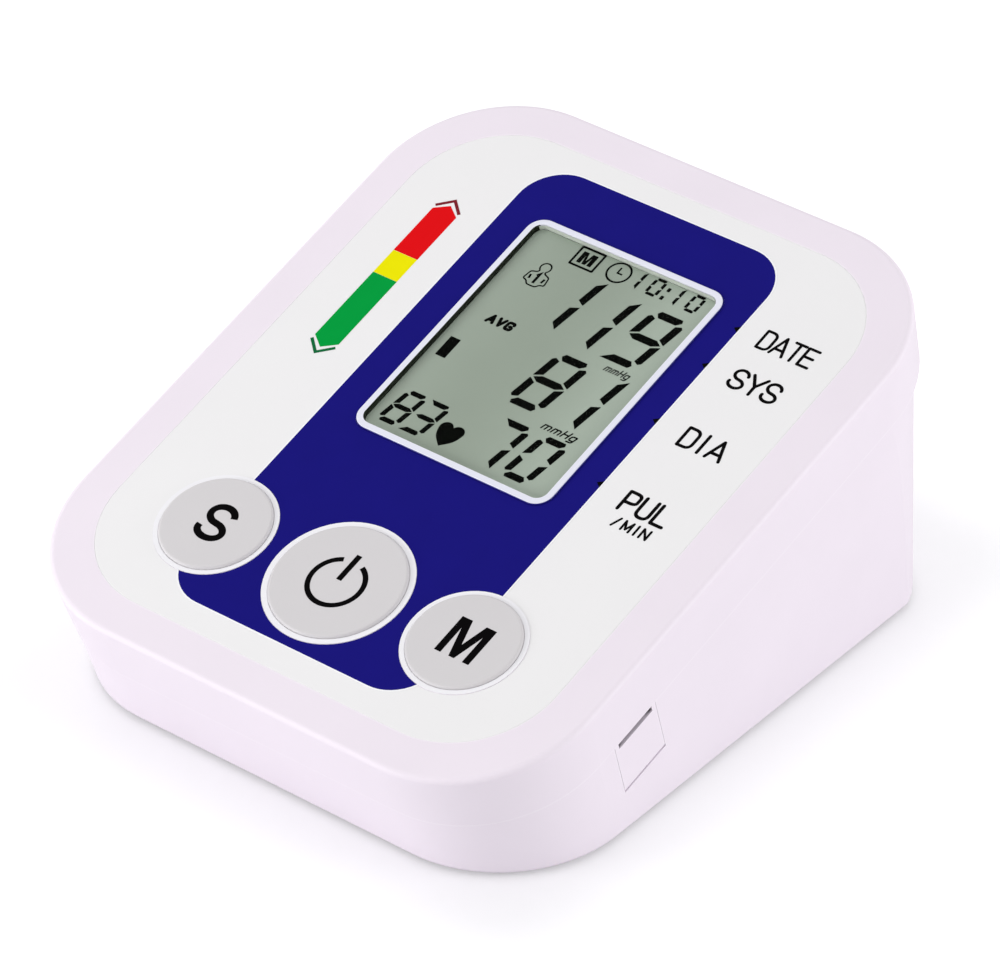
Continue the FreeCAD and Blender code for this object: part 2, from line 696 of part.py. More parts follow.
def key_cap(x, cap_r, stem_bottom):
    """Moulded cap: crowned top, hollow underneath, retaining flange, stem and cross ribs."""
    flange_top = CEILING - FLANGE_GAP
    flange_bottom = flange_top - FLANGE_THICK
    cap = rod(cap_r, (x, 0, flange_bottom), (0, 0, 1), KEY_TOP - flange_bottom)
    top = edges_where(cap, lambda edge: level(edge, KEY_TOP))
    cap = cap.makeFillet(KEY_EDGE_R, top)
    flange = rod(cap_r + FLANGE_OUT, (x, 0, flange_bottom), (0, 0, 1), FLANGE_THICK)
    roof = KEY_TOP - KEY_ROOF
    hollow_start = flange_bottom - CUT
    hollow = rod(cap_r - KEY_WALL, (x, 0, hollow_start), (0, 0, 1), roof - hollow_start)
    shell = without(joined(cap, flange), hollow)
    inside_roof = roof + KEY_ROOF / 4
    stem = rod(STEM_R, (x, 0, stem_bottom), (0, 0, 1), inside_roof - stem_bottom)
    reach = cap_r - KEY_WALL / 2
    half = KEY_RIB_HALF
    rib_bottom = flange_bottom + KEY_RIB_RISE
    long_rib = box(x - reach, x + reach, -half, half, rib_bottom, inside_roof)
    cross_rib = box(x - half, x + half, -reach, reach, rib_bottom, inside_roof)
    return to_row(joined(shell, stem, long_rib, cross_rib))


def key_switches():
    """Three switch bases under the keys, each with a hole for its plunger."""
    half = SWITCH_SIZE / 2
    bases = []
    for x, _, _ in KEYS.values():
        base = box(x - half, x + half, -half, half, BOARD_TOP, SWITCH_TOP)
        floor = BOARD_TOP + SWITCH_BASE
        well = rod(PLUNGER_R + PLUNGER_SLACK, (x, 0, floor), (0, 0, 1), SWITCH_TOP - floor + CUT)
        bases.append(to_row(without(base, well)))
    return Part.makeCompound(bases)


def key_plunger(x):
    bottom = BOARD_TOP + SWITCH_BASE + KEY_TRAVEL + PLUNGER_REST
    return to_row(rod(PLUNGER_R, (x, 0, bottom), (0, 0, 1), PLUNGER_TOP - bottom))


# ---- circuit board and what is on it ----

def main_board():
    """Circuit board with round notches for the screw posts and holes for its own screws."""
    length = BOARD_REAR - BOARD_FRONT
    middle = (BOARD_REAR + BOARD_FRONT) / 2
    board = slab(BOARD_WIDTH, length, BOARD_R, middle, BOARD_UNDER, BOARD_TOP)
    start = BOARD_UNDER - CUT
    through = BOARD_THICK + 2 * CUT
    notch_x, notch_v = BOARD_NOTCH
    notches = [
        rod(BOARD_NOTCH_R, (side * notch_x, notch_v, start), (0, 0, 1), through)
        for side in (-1, 1)
    ]
    holes = [
        rod(BOARD_SCREW_R + LOOSE, (x, v, start), (0, 0, 1), through)
        for x, v in BOARD_PILLARS
    ]
    return to_row(without(board, *notches, *holes))


def board_screws():
    screws = []
    for x, v in BOARD_PILLARS:
        head = rod(BOARD_HEAD_R, (x, v, BOARD_UNDER - BOARD_HEAD), (0, 0, 1), BOARD_HEAD)
        shank = rod(BOARD_SCREW_R, (x, v, BOARD_UNDER), (0, 0, 1), BOARD_SCREW_LENGTH)
        screws.append(to_row(joined(head, shank)))
    return Part.makeCompound(screws)


def microcontroller():
    """Square chip under the board, standing on a thin square that its row of legs fills."""
    half = CHIP_SIZE / 2
    reach = half + LEG_REACH
    bottom = BOARD_UNDER - CHIP_THICK
    legs_bottom = BOARD_UNDER - LEG_THICK
    chip = box(CHIP_X - half, CHIP_X + half, CHIP_V - half, CHIP_V + half, bottom, legs_bottom)
    legs = box(
        CHIP_X - reach, CHIP_X + reach, CHIP_V - reach, CHIP_V + reach, legs_bottom, BOARD_UNDER,
    )
    return to_row(joined(chip, legs))


def buzzer():
    """Round buzzer with a sound hole, hanging under the board."""
    bottom = BOARD_UNDER - BUZZER_HEIGHT
    case = rod(BUZZER_R, (BUZZER_X, BUZZER_V, bottom), (0, 0, 1), BUZZER_HEIGHT)
    start = (BUZZER_X, BUZZER_V, bottom - CUT)
    hole = rod(BUZZER_HOLE_R, start, (0, 0, 1), BUZZER_HEIGHT / 2)
    return to_row(without(case, hole))


def pressure_sensor():
    """Sensor block under the board, its air port facing the manifold."""
    block = box(
        MANIFOLD_X - SENSOR_HALF, MANIFOLD_X + SENSOR_HALF, SENSOR_V0, SENSOR_V1,
        BOARD_UNDER - SENSOR_HEIGHT, BOARD_UNDER,
    )
    start = (MANIFOLD_X, SENSOR_V1, BOARD_UNDER - SENSOR_PORT)
    port = rod(BARB_R, start, (0, 1, 0), SENSOR_PORT_LENGTH)
    return to_row(joined(block, port))


# ---- underside ----

def battery_door():
    """Flush door: rounded pivot edge with two stubs, finger scoop and grip ribs at the latch."""
    x, front, rear = door_extent(0)
    axis_y, axis_z = door_axis()
    top = FOOT_PROUD + DOOR_THICK
    plate = box(-x, x, axis_y, rear, FOOT_PROUD, top)
    bead = rod(DOOR_THICK / 2, (-x, axis_y, axis_z), (1, 0, 0), 2 * x)
    reach = x + STUB_LENGTH - STUB_END_GAP + DOOR_GAP
    stubs = rod(STUB_R, (-reach, axis_y, axis_z), (1, 0, 0), 2 * reach)
    scoop_y = rear + SCOOP_R - SCOOP_REACH + SCOOP_LIP
    scoop = rod(SCOOP_R, (0, scoop_y, 0), (0, 0, 1), FOOT_PROUD + SCOOP_DEPTH)
    before_lip = box(-SCOOP_R, SCOOP_R, rear - SCOOP_R, rear - SCOOP_LIP, 0, top)
    stiffeners = []
    for number in range(CELLS - 1):
        rib_x = cell_x(number + 0.5)
        stiffeners.append(box(
            rib_x - DOOR_RIB_HALF, rib_x + DOOR_RIB_HALF,
            WELL_Y0 + DOOR_RIB_INSET, WELL_Y1 - DOOR_RIB_INSET, top, top + DOOR_RIB_HEIGHT,
        ))
    door = without(joined(plate, bead, stubs), scoop.common(before_lip))
    grips = []
    for number in range(GRIPS):
        y = rear - GRIP_START - GRIP_PITCH * number
        grips.append(box(
            -GRIP_HALF, GRIP_HALF, y - GRIP_WIDTH, y, FOOT_PROUD - GRIP_PROUD, FOOT_PROUD + GRIP_PROUD,
        ))
    return joined(door, *stiffeners, *grips)


def cell_way(number):
    """Which way a cell's nub points along Y: each is turned end for end to its neighbour."""
    return 1 if number % 2 else -1


def cell_flat_end(number):
    """Y of a cell's flat end."""
    way = cell_way(number)
    return (WELL_Y0 + WELL_Y1) / 2 - way * (CELL_SHIFT + CELL_LENGTH / 2)


def batteries():
    """Four cells side by side."""
    cells = []
    for number in range(CELLS):
        way = cell_way(number)
        length = CELL_LENGTH - NUB_LENGTH
        can = rod(CELL_R, (cell_x(number), cell_flat_end(number), CELL_Z), (0, way, 0), length)
        ends = edges_where(can, lambda edge: edge.BoundBox.YLength < edge.BoundBox.XLength)
        can = can.makeFillet(CELL_ROUND, ends)
        nub_y = cell_flat_end(number) + way * (length - CELL_ROUND)
        nub = rod(NUB_R, (cell_x(number), nub_y, CELL_Z), (0, way, 0), NUB_LENGTH + CELL_ROUND)
        cells.append(joined(can, nub))
    return cells


def contact_plate(number, wall, inward):
    """Square plate on one of the well's end walls."""
    x = cell_x(number)
    y0, y1 = sorted((wall, wall + inward * CONTACT_THICK))
    half = CONTACT_HALF
    return box(x - half, x + half, y0, y1, CELL_Z - half, CELL_Z + half)


def battery_contacts():
    """Sprung contacts at the flat ends and plates at the nubs, on the well's two end walls."""
    springs = []
    plates = []
    for number in range(CELLS):
        way = cell_way(number)
        ends = (WELL_Y0, WELL_Y1) if way > 0 else (WELL_Y1, WELL_Y0)
        flat_wall, nub_wall = ends
        plates.append(contact_plate(number, nub_wall, -way))
        start = Vector(cell_x(number), flat_wall + way * CONTACT_THICK, CELL_Z)
        height = abs(cell_flat_end(number) - start.y)
        along = Vector(0, way, 0)
        cone = Part.makeCone(SPRING_R, SPRING_TIP_R, height, start, along)
        core = Part.makeCone(SPRING_R - SPRING_WALL, SPRING_TIP_R - SPRING_WALL, height, start, along)
        springs.append(joined(contact_plate(number, flat_wall, way), without(cone, core)))
    return Part.makeCompound(springs), Part.makeCompound(plates)


def rubber_feet():
    feet = []
    for x, y in FEET:
        foot = rod(FOOT_R, (x, y, 0), (0, 0, 1), FOOT_PROUD + FOOT_SUNK)
        rim = edges_where(foot, lambda edge: level(edge, 0))
        feet.append(foot.makeFillet(FOOT_ROUND, rim))
    return Part.makeCompound(feet)


def case_screws():
    """Four screws with cross recesses, at the bottom of deep holes in the underside."""
    screws = []
    long, half = DRIVE_REACH, DRIVE_HALF
    for x, y, meet in SCREWS:
        seat = meet - SCREW_SEAT
        under = seat - SCREW_HEAD
        head = rod(SCREW_HEAD_R, (x, y, under), (0, 0, 1), SCREW_HEAD)
        shank = rod(SCREW_R, (x, y, seat), (0, 0, 1), SCREW_SEAT + SCREW_BITE)
        drive = joined(
            box(x - long, x + long, y - half, y + half, under - CUT, under + DRIVE_DEPTH),
            box(x - half, x + half, y - long, y + long, under - CUT, under + DRIVE_DEPTH),
        )
        screws.append(without(joined(head, shank), drive))
    return Part.makeCompound(screws)


# ---- air path ----

def air_socket():
    """Socket for the cuff's plug in the left wall, with a barb inside for the tube."""
    mouth = AIR_MOUTH_X
    back = mouth + AIR_BORE_DEPTH + WALL / 2
    barb_start = (back, AIR_Y, AIR_Z)
    body = rod(AIR_BODY_R - SNUG, (mouth, AIR_Y, AIR_Z), (1, 0, 0), back - mouth)
    flange = rod(AIR_BODY_R + AIR_FLANGE, (AIR_FLANGE_X, AIR_Y, AIR_Z), (1, 0, 0), AIR_FLANGE_THICK)
    barb = rod(BARB_R, barb_start, (1, 0, 0), BARB_LENGTH)
    bore = rod(AIR_BORE_R, (mouth - CUT, AIR_Y, AIR_Z), (1, 0, 0), AIR_BORE_DEPTH + CUT)
    passage = rod(PASSAGE_R, (mouth, AIR_Y, AIR_Z), (1, 0, 0), back + BARB_LENGTH + CUT - mouth)
    socket = without(joined(body, flange, barb), bore, passage)
    lip = edges_where(socket, lambda edge: edge.BoundBox.XMax < mouth + AIR_LIP)
    return socket.makeChamfer(AIR_LIP, [min(lip, key=lambda edge: edge.Length)])


def air_manifold():
    """Small cross that joins the pump, cuff socket, sensor and valve."""
    half = MANIFOLD_HALF
    core = box(
        MANIFOLD_X - half, MANIFOLD_X + half, AIR_Y - half, AIR_Y + half, AIR_Z - half, AIR_Z + half,
    )
    ports = [
        rod(BARB_R, (MANIFOLD_X, AIR_Y, AIR_Z), way, PORT_REACH)
        for way in ((1, 0, 0), (-1, 0, 0), (0, 1, 0), (0, -1, 0))
    ]
    return joined(core, *ports)


def bleed_valve():
    """Soft valve that lets the cuff down slowly, on top of the manifold."""
    z = AIR_Z + MANIFOLD_HALF
    base = rod(BLEED_R, (MANIFOLD_X, AIR_Y, z), (0, 0, 1), BLEED_BASE)
    foot = Vector(MANIFOLD_X, AIR_Y, z + BLEED_BASE)
    nose = Part.makeCone(BLEED_R * 0.7, BLEED_R * 0.45, BLEED_NOSE, foot)
    return joined(base, nose)


def hose(points):
    """Soft tube along straight runs joined by arcs as large as the runs allow."""
    points = [Vector(*point) for point in points]
    edges = []
    here = points[0]
    for before, corner, after in zip(points, points[1:], points[2:]):
        way_in = (corner - before).normalize()
        way_out = (after - corner).normalize()
        turn = way_in.getAngle(way_out)
        reach = 0.45 * min((corner - before).Length, (after - corner).Length)
        radius = reach / math.tan(turn / 2)
        start = corner - way_in * reach
        end = corner + way_out * reach
        inward = (way_out - way_in).normalize()
        middle = corner + inward * (radius / math.cos(turn / 2) - radius)
        edges.append(Part.makeLine(here, start))
        edges.append(Part.Arc(start, middle, end).toShape())
        here = end
    edges.append(Part.makeLine(here, points[-1]))
    path = Part.Wire(edges)
    first = points[1] - points[0]
    outer = Part.Wire(Part.makeCircle(TUBE_R, points[0], first))
    inner = Part.Wire(Part.makeCircle(TUBE_BORE_R, points[0], first))
    return path.makePipe(Part.Face(outer)).cut(path.makePipe(Part.Face(inner)))


def face_point(x, v, n):
    """A point of the face frame, in the row frame."""
    turn = math.radians(TILT)
    y = v * math.cos(turn) - n * math.sin(turn)
    z = v * math.sin(turn) + n * math.cos(turn)
    return (x, KEY_Y + y, KEY_HEIGHT + z)


def air_tubes():
    """Four soft tubes from the manifold: to the cuff socket, the pump, the sensor and the valve."""
    start = MANIFOLD_HALF + TUBE_GAP
    socket_back = AIR_MOUTH_X + AIR_BORE_DEPTH + WALL / 2
    to_socket = hose([
        (socket_back + TUBE_GAP, AIR_Y, AIR_Z),
        (MANIFOLD_X - start, AIR_Y, AIR_Z),
    ])
    head_x = (MOTOR_X1 + HEAD_X1) / 2
    to_pump = hose([
        (MANIFOLD_X + start, AIR_Y, AIR_Z),
        (head_x - 9, AIR_Y, AIR_Z),
        (head_x, AIR_Y + 5, PUMP_INLET_Z),
        (head_x, PUMP_Y - HEAD_HALF - TUBE_GAP, PUMP_INLET_Z),
    ])
    to_sensor = hose([
        (MANIFOLD_X, AIR_Y - start, AIR_Z),
        (MANIFOLD_X, AIR_Y - 8, AIR_Z),
        face_point(MANIFOLD_X, SENSOR_V1 + 6, BOARD_UNDER - SENSOR_PORT),
        face_point(MANIFOLD_X, SENSOR_V1 + TUBE_GAP, BOARD_UNDER - SENSOR_PORT),
    ])
    to_valve = hose([
        (MANIFOLD_X, AIR_Y + start, AIR_Z),
        (MANIFOLD_X, VALVE_Y - TUBE_GAP, AIR_Z),
    ])
    return Part.makeCompound([to_socket, to_pump, to_sensor, to_valve])


def motor_form(grow, x0, length):
    """Round body with two flats, above and below."""
    half = MOTOR_R + grow
    flat = MOTOR_FLAT + grow
    flats = box(x0, x0 + length, PUMP_Y - half, PUMP_Y + half, PUMP_Z - flat, PUMP_Z + flat)
    return rod(half, (x0, PUMP_Y, PUMP_Z), (1, 0, 0), length).common(flats)


def shaft_hole(x0, length):
    return rod(SHAFT_R + SHAFT_RUNNING, (x0, PUMP_Y, PUMP_Z), (1, 0, 0), length)


def motor_can():
    """Steel can with two flats, open at the pump end."""
    length = MOTOR_X1 - MOTOR_X0
    can = motor_form(0, MOTOR_X0, length)
    bore = rod(MAGNET_R, (MOTOR_X0 + MOTOR_WALL, PUMP_Y, PUMP_Z), (1, 0, 0), length)
    return without(can, bore, shaft_hole(MOTOR_X0 - CUT, MOTOR_WALL + 2 * CUT))


def motor_end_cap():
    """Plastic cap that closes the can and carries the second bearing."""
    x0 = MOTOR_X1 - CAP_THICK
    plug = rod(MAGNET_R - SNUG, (x0, PUMP_Y, PUMP_Z), (1, 0, 0), CAP_THICK)
    return without(plug, shaft_hole(x0 - CUT, CAP_THICK + 2 * CUT))


def motor_shaft():
    x0 = MOTOR_X0 + MOTOR_WALL / 4
    return rod(SHAFT_R, (x0, PUMP_Y, PUMP_Z), (1, 0, 0), MOTOR_X1 + SHAFT_END - x0)


def armature():
    """Three-pole armature on the shaft: each pole is a web with a round shoe."""
    x0 = ARMATURE_X0
    x1 = x0 + ARMATURE_LENGTH
    centre = (x0, PUMP_Y, PUMP_Z)
    core = rod(CORE_R, centre, (1, 0, 0), ARMATURE_LENGTH)
    ring = tube(SHOE_R, SHOE_BORE_R, centre, (1, 0, 0), ARMATURE_LENGTH)
    poles = []
    for number in range(POLES):
        shoe_space = box(
            x0, x1, PUMP_Y - SHOE_HALF, PUMP_Y + SHOE_HALF, PUMP_Z + CORE_R, PUMP_Z + SHOE_R,
        )
        web = box(
            x0, x1, PUMP_Y - POLE_HALF, PUMP_Y + POLE_HALF,
            PUMP_Z + CORE_R - POLE_HALF, PUMP_Z + SHOE_BORE_R + POLE_HALF / 2,
        )
        pole = joined(web, ring.common(shoe_space))
        pole.rotate(Vector(*centre), Vector(1, 0, 0), 360 / POLES * number)
        poles.append(pole)
    hole = rod(SHAFT_R, (x0 - CUT, PUMP_Y, PUMP_Z), (1, 0, 0), ARMATURE_LENGTH + 2 * CUT)
    return without(joined(core, *poles), hole)


def eccentric():
    """Offset crank on the shaft's end, which rocks the diaphragm."""
    x0 = MOTOR_X1 + CRANK_START
    disc = rod(CRANK_R, (x0, PUMP_Y, PUMP_Z - CRANK_THROW), (1, 0, 0), CRANK_THICK)
    hole = rod(SHAFT_R, (x0 - CUT, PUMP_Y, PUMP_Z), (1, 0, 0), CRANK_THICK + 2 * CUT)
    return without(disc, hole)


def pump_head():
    """Square pump body: crank room, diaphragm room and the outlet towards the manifold."""
    half = HEAD_HALF
    block = box(MOTOR_X1, HEAD_X1, PUMP_Y - half, PUMP_Y + half, PUMP_Z - half, PUMP_Z + half)
    long_edges = edges_where(block, lambda edge: edge.BoundBox.XLength > edge.BoundBox.DiagonalLength / 2)
    block = block.makeFillet(HEAD_ROUND, long_edges)
    crank_start = (MOTOR_X1 - CUT, PUMP_Y, PUMP_Z)
    crank_room = rod(CRANK_ROOM_R, crank_start, (1, 0, 0), CRANK_ROOM + CUT)
    pad_start = (MOTOR_X1 + CRANK_ROOM, PUMP_Y, PUMP_Z)
    pad_room = rod(PAD_ROOM_R, pad_start, (1, 0, 0), PAD_ROOM)
    outlet_start = ((MOTOR_X1 + HEAD_X1) / 2, PUMP_Y - half - OUTLET_LENGTH, PUMP_INLET_Z)
    outlet = rod(BARB_R, outlet_start, (0, 1, 0), OUTLET_LENGTH + CUT)
    return joined(without(block, crank_room, pad_room), outlet)


def pump_diaphragm():
    """Rubber diaphragm with three cups."""
    x0 = MOTOR_X1 + PAD_START
    disc = rod(PAD_R, (x0, PUMP_Y, PUMP_Z), (1, 0, 0), PAD_THICK)
    cups = []
    for number in range(CUPS):
        turn = math.radians(90 + 360 / CUPS * number)
        y = PUMP_Y + CUP_PITCH_R * math.cos(turn)
        z = PUMP_Z + CUP_PITCH_R * math.sin(turn)
        cups.append(rod(CUP_R, (x0 + PAD_THICK, y, z), (1, 0, 0), CUP_HEIGHT))
    return joined(disc, *cups)


def pump_sleeve():
    """Soft sleeve that carries the motor on the well's roof and keeps it quiet."""
    roof = WELL_TOP + WELL_WALL
    x0 = SLEEVE_X0
    x1 = x0 + SLEEVE_LENGTH
    radius = MOTOR_R + SLEEVE_WALL
    outside = rod(radius, (x0, PUMP_Y, PUMP_Z), (1, 0, 0), SLEEVE_LENGTH)
    foot = box(x0, x1, PUMP_Y - SLEEVE_FOOT_HALF, PUMP_Y + SLEEVE_FOOT_HALF, roof, PUMP_Z)
    bore = motor_form(SNUG, x0 - CUT, SLEEVE_LENGTH + 2 * CUT)
    above = box(x0, x1, PUMP_Y - radius, PUMP_Y + radius, roof, PUMP_Z + radius)
    return without(joined(outside, foot), bore).common(above)


def exhaust_valve():
    """Solenoid that dumps the air at once: yoke, coil and a nozzle towards the manifold."""
    yoke = box(
        MANIFOLD_X - VALVE_HALF, MANIFOLD_X + VALVE_HALF, VALVE_Y, VALVE_Y + VALVE_LENGTH,
        WELL_TOP + WELL_WALL, VALVE_TOP,
    )
    nozzle_y = VALVE_Y + CUT / 2 - VALVE_NOZZLE
    nozzle = rod(BARB_R, (MANIFOLD_X, nozzle_y, AIR_Z), (0, 1, 0), VALVE_NOZZLE)
    well_start = (MANIFOLD_X, VALVE_Y + VALVE_WELL, VALVE_AXIS_Z)
    well = rod(VALVE_WELL_R, well_start, (0, 1, 0), VALVE_LENGTH)
    return without(joined(yoke, nozzle), well)


def valve_plunger():
    """Sliding core of the valve, with a flat head outside the yoke."""
    y = VALVE_Y + STEM_START
    stem = rod(VALVE_STEM_R, (MANIFOLD_X, y, VALVE_AXIS_Z), (0, 1, 0), VALVE_STEM)
    head_start = (MANIFOLD_X, y + VALVE_STEM, VALVE_AXIS_Z)
    head = rod(VALVE_HEAD_R, head_start, (0, 1, 0), VALVE_HEAD)
    return joined(stem, head)


# ---- writing the nodes ----

def all_nodes():
    nodes = {
        "upper_case": upper_case(),
        "lower_case": lower_case(),
        "face_plate": face_plate(),
        "lcd_frame": lcd_frame(),
        "lcd_window": lcd_window(),
        "lcd_glass": lcd_glass(),
        "lcd_connector": lcd_connector(),
        "main_board": main_board(),
        "board_screws": board_screws(),
        "microcontroller": microcontroller(),
        "buzzer": buzzer(),
        "pressure_sensor": pressure_sensor(),
        "key_switches": key_switches(),
        "power_socket": power_socket(),
        "socket_contact": socket_contact(),
        "port_cover": port_cover(),
        "port_cover_pin": to_row(cover_pin()),
        "battery_door": battery_door(),
        "rubber_feet": rubber_feet(),
        "case_screws": case_screws(),
        "air_socket": air_socket(),
        "air_manifold": air_manifold(),
        "bleed_valve": bleed_valve(),
        "air_tubes": air_tubes(),
        "exhaust_valve": exhaust_valve(),
        "valve_plunger": valve_plunger(),
        "motor_can": motor_can(),
        "motor_end_cap": motor_end_cap(),
        "motor_shaft": motor_shaft(),
        "armature": armature(),
        "eccentric": eccentric(),
        "pump_head": pump_head(),
        "pump_diaphragm": pump_diaphragm(),
        "pump_sleeve": pump_sleeve(),
    }
    for name, (x, cap_r, _) in KEYS.items():
        nodes[name + "_button"] = key_cap(x, cap_r, PLUNGER_TOP)
        nodes[name + "_plunger"] = key_plunger(x)
    for number, cell in enumerate(batteries()):
        nodes["battery_%d" % (number + 1)] = cell
    nodes["contact_springs"], nodes["contact_plates"] = battery_contacts()
    return nodes


def main():
    os.makedirs("parts", exist_ok=True)
    whole = FreeCAD.BoundBox()
    for name, shape in all_nodes().items():
        if not shape.isValid():
            print("not valid:", name)
        solids = shape.Solids
        piece = shape if len(solids) > 1 else solids[0]
        piece.exportStep("parts/%s.step" % name)
        whole.add(piece.BoundBox)
        print("%-18s %d solid(s), %9.1f mm3" % (name, len(solids), shape.Volume))
    print("box", whole)
    print("door pivot", door_axis())
    print("cover pivot", face_point(COVER_AXIS_X, COVER_MIDDLE, COVER_AXIS_N))
    print("socket contact", face_point(SOCKET_FACE_X - SOCKET_DEPTH / 2, SOCKET_V, SOCKET_N))


main()
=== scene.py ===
# %% [markdown]
# # A desktop blood pressure monitor, dressed in Blender
#
# The construction comes in finished: housing, keys, display, pump, cells and hinges are solids of
# their real size, each on the body that carries it. This notebook adds what a customer sees and
# touches: moulded surfaces, printing, the display's figures, and the small repeated parts that are
# better grown from a rule than drawn one by one.

# %% Load the construction
import json
import math

import bmesh
import bpy
from mathutils import Matrix, Vector


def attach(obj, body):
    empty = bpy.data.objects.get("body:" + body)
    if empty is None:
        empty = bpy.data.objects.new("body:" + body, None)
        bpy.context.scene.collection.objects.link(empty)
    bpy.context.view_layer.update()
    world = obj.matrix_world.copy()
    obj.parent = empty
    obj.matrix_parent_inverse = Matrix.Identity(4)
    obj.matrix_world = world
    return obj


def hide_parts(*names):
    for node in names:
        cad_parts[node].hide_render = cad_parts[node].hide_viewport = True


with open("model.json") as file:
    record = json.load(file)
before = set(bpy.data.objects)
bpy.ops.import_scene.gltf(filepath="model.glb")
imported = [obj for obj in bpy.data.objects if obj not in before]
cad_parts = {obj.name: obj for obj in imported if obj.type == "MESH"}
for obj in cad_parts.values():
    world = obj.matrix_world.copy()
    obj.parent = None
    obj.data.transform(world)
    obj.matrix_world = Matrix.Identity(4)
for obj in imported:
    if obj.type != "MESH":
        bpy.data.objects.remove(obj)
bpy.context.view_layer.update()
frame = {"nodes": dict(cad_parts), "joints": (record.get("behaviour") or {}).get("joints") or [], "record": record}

nodes = frame["nodes"]
slot_of = {row["node"]: row["material_slot"] for row in frame["record"]["subparts"]}

# %% [markdown]
# ## The face has a frame of its own
#
# Nearly everything that is printed lies on the sloping face, so it is drawn flat, in millimetres:
# x across, v up the slope, n out of the face, from the middle of the power key. One matrix carries a
# flat drawing to its place. The slope is read from the direction in which the power key presses, so
# the drawing can't come away from the solids.

# %% The face frame
MM = 0.001
KEY_Y = -36.69 * MM
KEY_HEIGHT = 30.5 * MM
RIM_CENTRE_V = 52.5
SIDEWAYS = Vector((1, 0, 0))

press = next(j for j in frame["joints"] if j["name"] == "power_key_press")
outward = -Vector(press["axis"])
upslope = outward.cross(SIDEWAYS)
FACE = Matrix((
    (MM, 0, 0, 0),
    (0, upslope.y * MM, outward.y * MM, KEY_Y),
    (0, upslope.z * MM, outward.z * MM, KEY_HEIGHT),
    (0, 0, 0, 1),
))
TO_METRES = Matrix.Diagonal((MM, MM, MM, 1))
TO_MM = Matrix.Diagonal((1 / MM, 1 / MM, 1 / MM, 1))


def on_face(x, v, n=0.0):
    """A point of the face frame, in metres in the common frame."""
    return FACE @ Vector((x, v, n))


print("slope of the face", round(math.degrees(math.asin(upslope.z)), 2), "degrees")

# %% [markdown]
# ## The camera
#
# A long lens from well off makes the edges of a small product run almost parallel, as in a
# catalogue picture. The camera is placed by where it stands and where it looks, with a third of a
# degree of roll.

# %% Camera
CAMERA_AT = Vector((0.51566, -0.63184, 0.59717))
AZIMUTH = 39.076
ELEVATION = 34.785
ROLL = -0.34
SENSOR = 36.0
LENS = 224.77

away = Matrix.Rotation(math.radians(AZIMUTH), 3, "Z") @ Matrix.Rotation(
    math.radians(90 - ELEVATION), 3, "X"
)
turn = away @ Matrix.Rotation(math.radians(ROLL), 3, "Z")
camera = bpy.data.objects.new("camera", bpy.data.cameras.new("camera"))
camera.matrix_world = Matrix.Translation(CAMERA_AT) @ turn.to_4x4()
camera.data.sensor_width = SENSOR
camera.data.lens = LENS
camera.data.clip_end = 20
bpy.context.scene.collection.objects.link(camera)
bpy.context.scene.camera = camera
print("camera", round(CAMERA_AT.length, 3), "m away")

# %% [markdown]
# ## Short words for node trees
#
# Materials and geometry trees are both node trees. This small class adds a node, sets its
# properties and joins its inputs in one line, which keeps the recipes below readable.

# %% A node tree with short words


class Graph:
    """A node tree: add() makes a node, sets its properties and feeds its inputs."""

    def __init__(self, tree):
        self.tree = tree

    def add(self, kind, inputs=None, **properties):
        made = self.tree.nodes.new(kind)
        for name, value in properties.items():
            setattr(made, name, value)
        for name, value in (inputs or {}).items():
            self.feed(made, name, value)
        return made

    def one(self, kind, inputs=None, **properties):
        """The first output of a new node."""
        return self.add(kind, inputs, **properties).outputs[0]

    def feed(self, made, name, value):
        socket = made.inputs[name]
        if isinstance(value, bpy.types.NodeSocket):
            self.tree.links.new(value, socket)
        else:
            socket.default_value = value

    def math(self, operation, first, second=0.0, third=0.0, clamp=False):
        values = {0: first, 1: second, 2: third}
        return self.one("ShaderNodeMath", values, operation=operation, use_clamp=clamp)

    def vector(self, operation, first, second=(0.0, 0.0, 0.0)):
        """A sum on vectors, the second zero if not given; a product or a length is a number."""
        made = self.add("ShaderNodeVectorMath", {0: first, 1: second}, operation=operation)
        number = operation in ("DOT_PRODUCT", "LENGTH")
        return made.outputs["Value" if number else "Vector"]

    def place(self):
        """Where each shaded point lies in its object, in metres."""
        return self.add("ShaderNodeTexCoord").outputs["Object"]

    def mix(self, factor, first, second):
        made = self.add("ShaderNodeMix", data_type="RGBA")
        self.feed(made, 0, factor)
        self.feed(made, 6, first)
        self.feed(made, 7, second)
        return made.outputs[2]

    def use(self, group, **inputs):
        made = self.add("ShaderNodeGroup", node_tree=bpy.data.node_groups[group])
        for name, value in inputs.items():
            self.feed(made, name.replace("_", " "), value)
        return made.outputs


def new_group(name, inputs, outputs):
    """An empty shader group with named sockets, its input node and its output node."""
    tree = bpy.data.node_groups.new(name, "ShaderNodeTree")
    for label, kind, value in inputs:
        socket = tree.interface.new_socket(label, in_out="INPUT", socket_type="NodeSocket" + kind)
        socket.default_value = value
    for label, kind in outputs:
        tree.interface.new_socket(label, in_out="OUTPUT", socket_type="NodeSocket" + kind)
    graph = Graph(tree)
    return graph, graph.add("NodeGroupInput").outputs, graph.add("NodeGroupOutput")


def linear(red, green, blue):
    """A colour as read off a colour card, 0 to 255, as the renderer's own numbers."""
    values = []
    for value in (red, green, blue):
        share = value / 255
        values.append(share / 12.92 if share <= 0.04045 else ((share + 0.055) / 1.055) ** 2.4)
    return (*values, 1.0)


